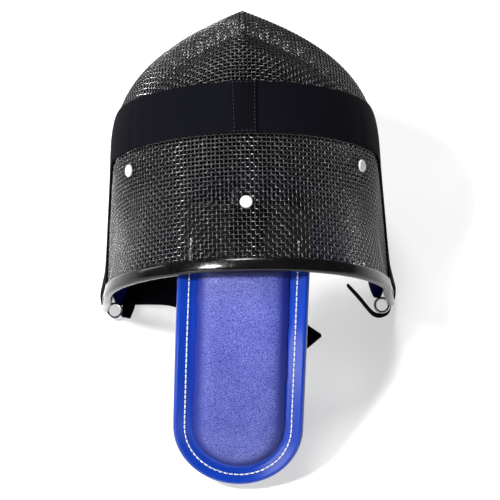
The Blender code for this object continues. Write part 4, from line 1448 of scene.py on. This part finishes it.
def bib():
    front = bib_row(0.0)
    kept = front[:, 1] > BIB_REAR + 3 * MM
    front = front[kept]
    across = front[:, 0]
    rows = []
    for share in np.linspace(0, 1, BIB_ROWS):
        along = BIB_REAR + (front[:, 1] - BIB_REAR) * share
        wave = np.sin(across / (17 * MM) + 1.5 * np.sin(along / (31 * MM))) * np.sin(along / (23 * MM))
        up = BIB_LIFT + BIB_THICKNESS / 2 + BIB_WAVE * (1 + wave)
        rows.append(np.stack([across, along, up], -1))
    rows += [bib_row(rise * MM)[kept] for rise in BIB_HEM]
    places = np.array(rows)
    wide, deep = np.ptp(across), front[:, 1].max() - BIB_REAR + BIB_HEM[-1] * MM
    piece = laid_grid("bib_cloth", places, size=(deep, wide))
    thicken(piece, BIB_THICKNESS, 0.5 * MM)
    finish_piece(piece, BIB_CLOTH, "bib_cloth", "bib")


bib()


# %% [markdown]
# ## The lining of the face
# Seen from above, no light comes through the lower half of the face: the holes of its mesh are black with the
# shade inside. So a thin black cloth lies right behind its wires, gripped by the edging as they are, from the
# lower rim to the height of the mouth; its near-black colour is painted shade. Above that the mesh stays open
# to look through. A darker wire would not do it, since light comes through the holes and not off the wires.

# %% The lining
LINING_THICKNESS = 0.5 * MM
LINING_INSIDE = 1.32 * MM  # from the middle of the wall to the middle of the cloth
LINING_TOP_ANGLE = 18.0
LINING_ROWS, LINING_COLUMNS = 34, 90
LINING_SIDE_REACH = (
    # fan angle, how near the lining comes to the jaw line (mm)
    (-30, 60), (-10, 70), (-4, 92), (18, 92),
)


def face_lining():
    rows = []
    for angle in np.linspace(LOWER_RIM_ANGLE + 0.5, LINING_TOP_ANGLE, LINING_ROWS):
        side = np.interp(angle, *np.array(LINING_SIDE_REACH).T) * MM
        lengths = np.linspace(0, length_at_reach(angle, side), LINING_COLUMNS)
        angles = np.full(len(lengths), angle)
        point, normal = wall(angles, lengths)[0], wall_normal(angles, lengths)
        normal[0] *= (0, 1, 1)
        rows.append(stand(both_halves(point - normal * LINING_INSIDE)))
    places = np.array(rows)
    wide = max(lengths_along(row)[-1] for row in places)
    deep = lengths_along(places[:, places.shape[1] // 2])[-1]
    piece = laid_grid("face_lining", places, size=(deep, wide))
    thicken(piece, LINING_THICKNESS)
    finish_piece(piece, SHADED_LINING_CLOTH, "bib_cloth", "face_mesh")
    print("lining", round(wide * 1000), "x", round(deep * 1000), "mm")


face_lining()


# %% [markdown]
# ## The studio
# The picture has no background of its own: a pale floor that runs on without an edge, under soft light. The
# floor glows a little, like the light tables that small goods are photographed on, which keeps shadows pale.
# A small lamp from the upper left puts bright dots on the wires, one overhead lights the crown, a broad low
# one in front lights the tongue, and a weak one on the left shines along the wall.

# %% Floor and lights
LIGHTS = (
    # name, place (m), width and height (m), power (W), how wide it spreads (degrees)
    ("key_light", (-1.1, -0.85, 2.1), (0.35, 0.35), 11, 60),
    ("overhead_light", (-0.2, 0.4, 2.9), (0.8, 0.8), 14, 90),
    ("low_light", (-1.25, -2.0, 0.62), (1.3, 0.95), 19, 180),
    ("left_light", (-1.9, 0.9, 0.6), (0.5, 0.8), 7, 180),
)
LIT_PLACE = (0, 0, 0.1)
FLOOR_SIZE = 12
FLOOR_TONE = 0.5
FLOOR_GLOW = 0.55
ROOM_GLOW = 0.08
WHITE = (1, 1, 1, 1)


def add_light(name, place, size, power, spread):
    data = bpy.data.lights.new(name, "AREA")
    data.shape = "RECTANGLE"
    data.size, data.size_y = size
    data.energy = power
    data.spread = math.radians(spread)
    lamp = new_object(name, data)
    lamp.location = place
    lamp.rotation_euler = (Vector(LIT_PLACE) - Vector(place)).to_track_quat("-Z", "Y").to_euler()


def studio():
    deselect()
    bpy.ops.mesh.primitive_plane_add(size=FLOOR_SIZE)
    floor = bpy.context.object
    floor.name = "studio_floor"
    paint = new_material(
        "studio floor", grey(FLOOR_TONE), 0.9, Emission_Color=WHITE, Emission_Strength=FLOOR_GLOW)[0]
    floor.data.materials.append(paint)
    for light in LIGHTS:
        add_light(*light)
    world = bpy.data.worlds.new("studio")
    world.use_nodes = True
    feed_all(world.node_tree, world.node_tree.nodes["Background"], Color=WHITE, Strength=ROOM_GLOW)
    bpy.context.scene.world = world
    bpy.context.scene.view_settings.view_transform = "Standard"


studio()
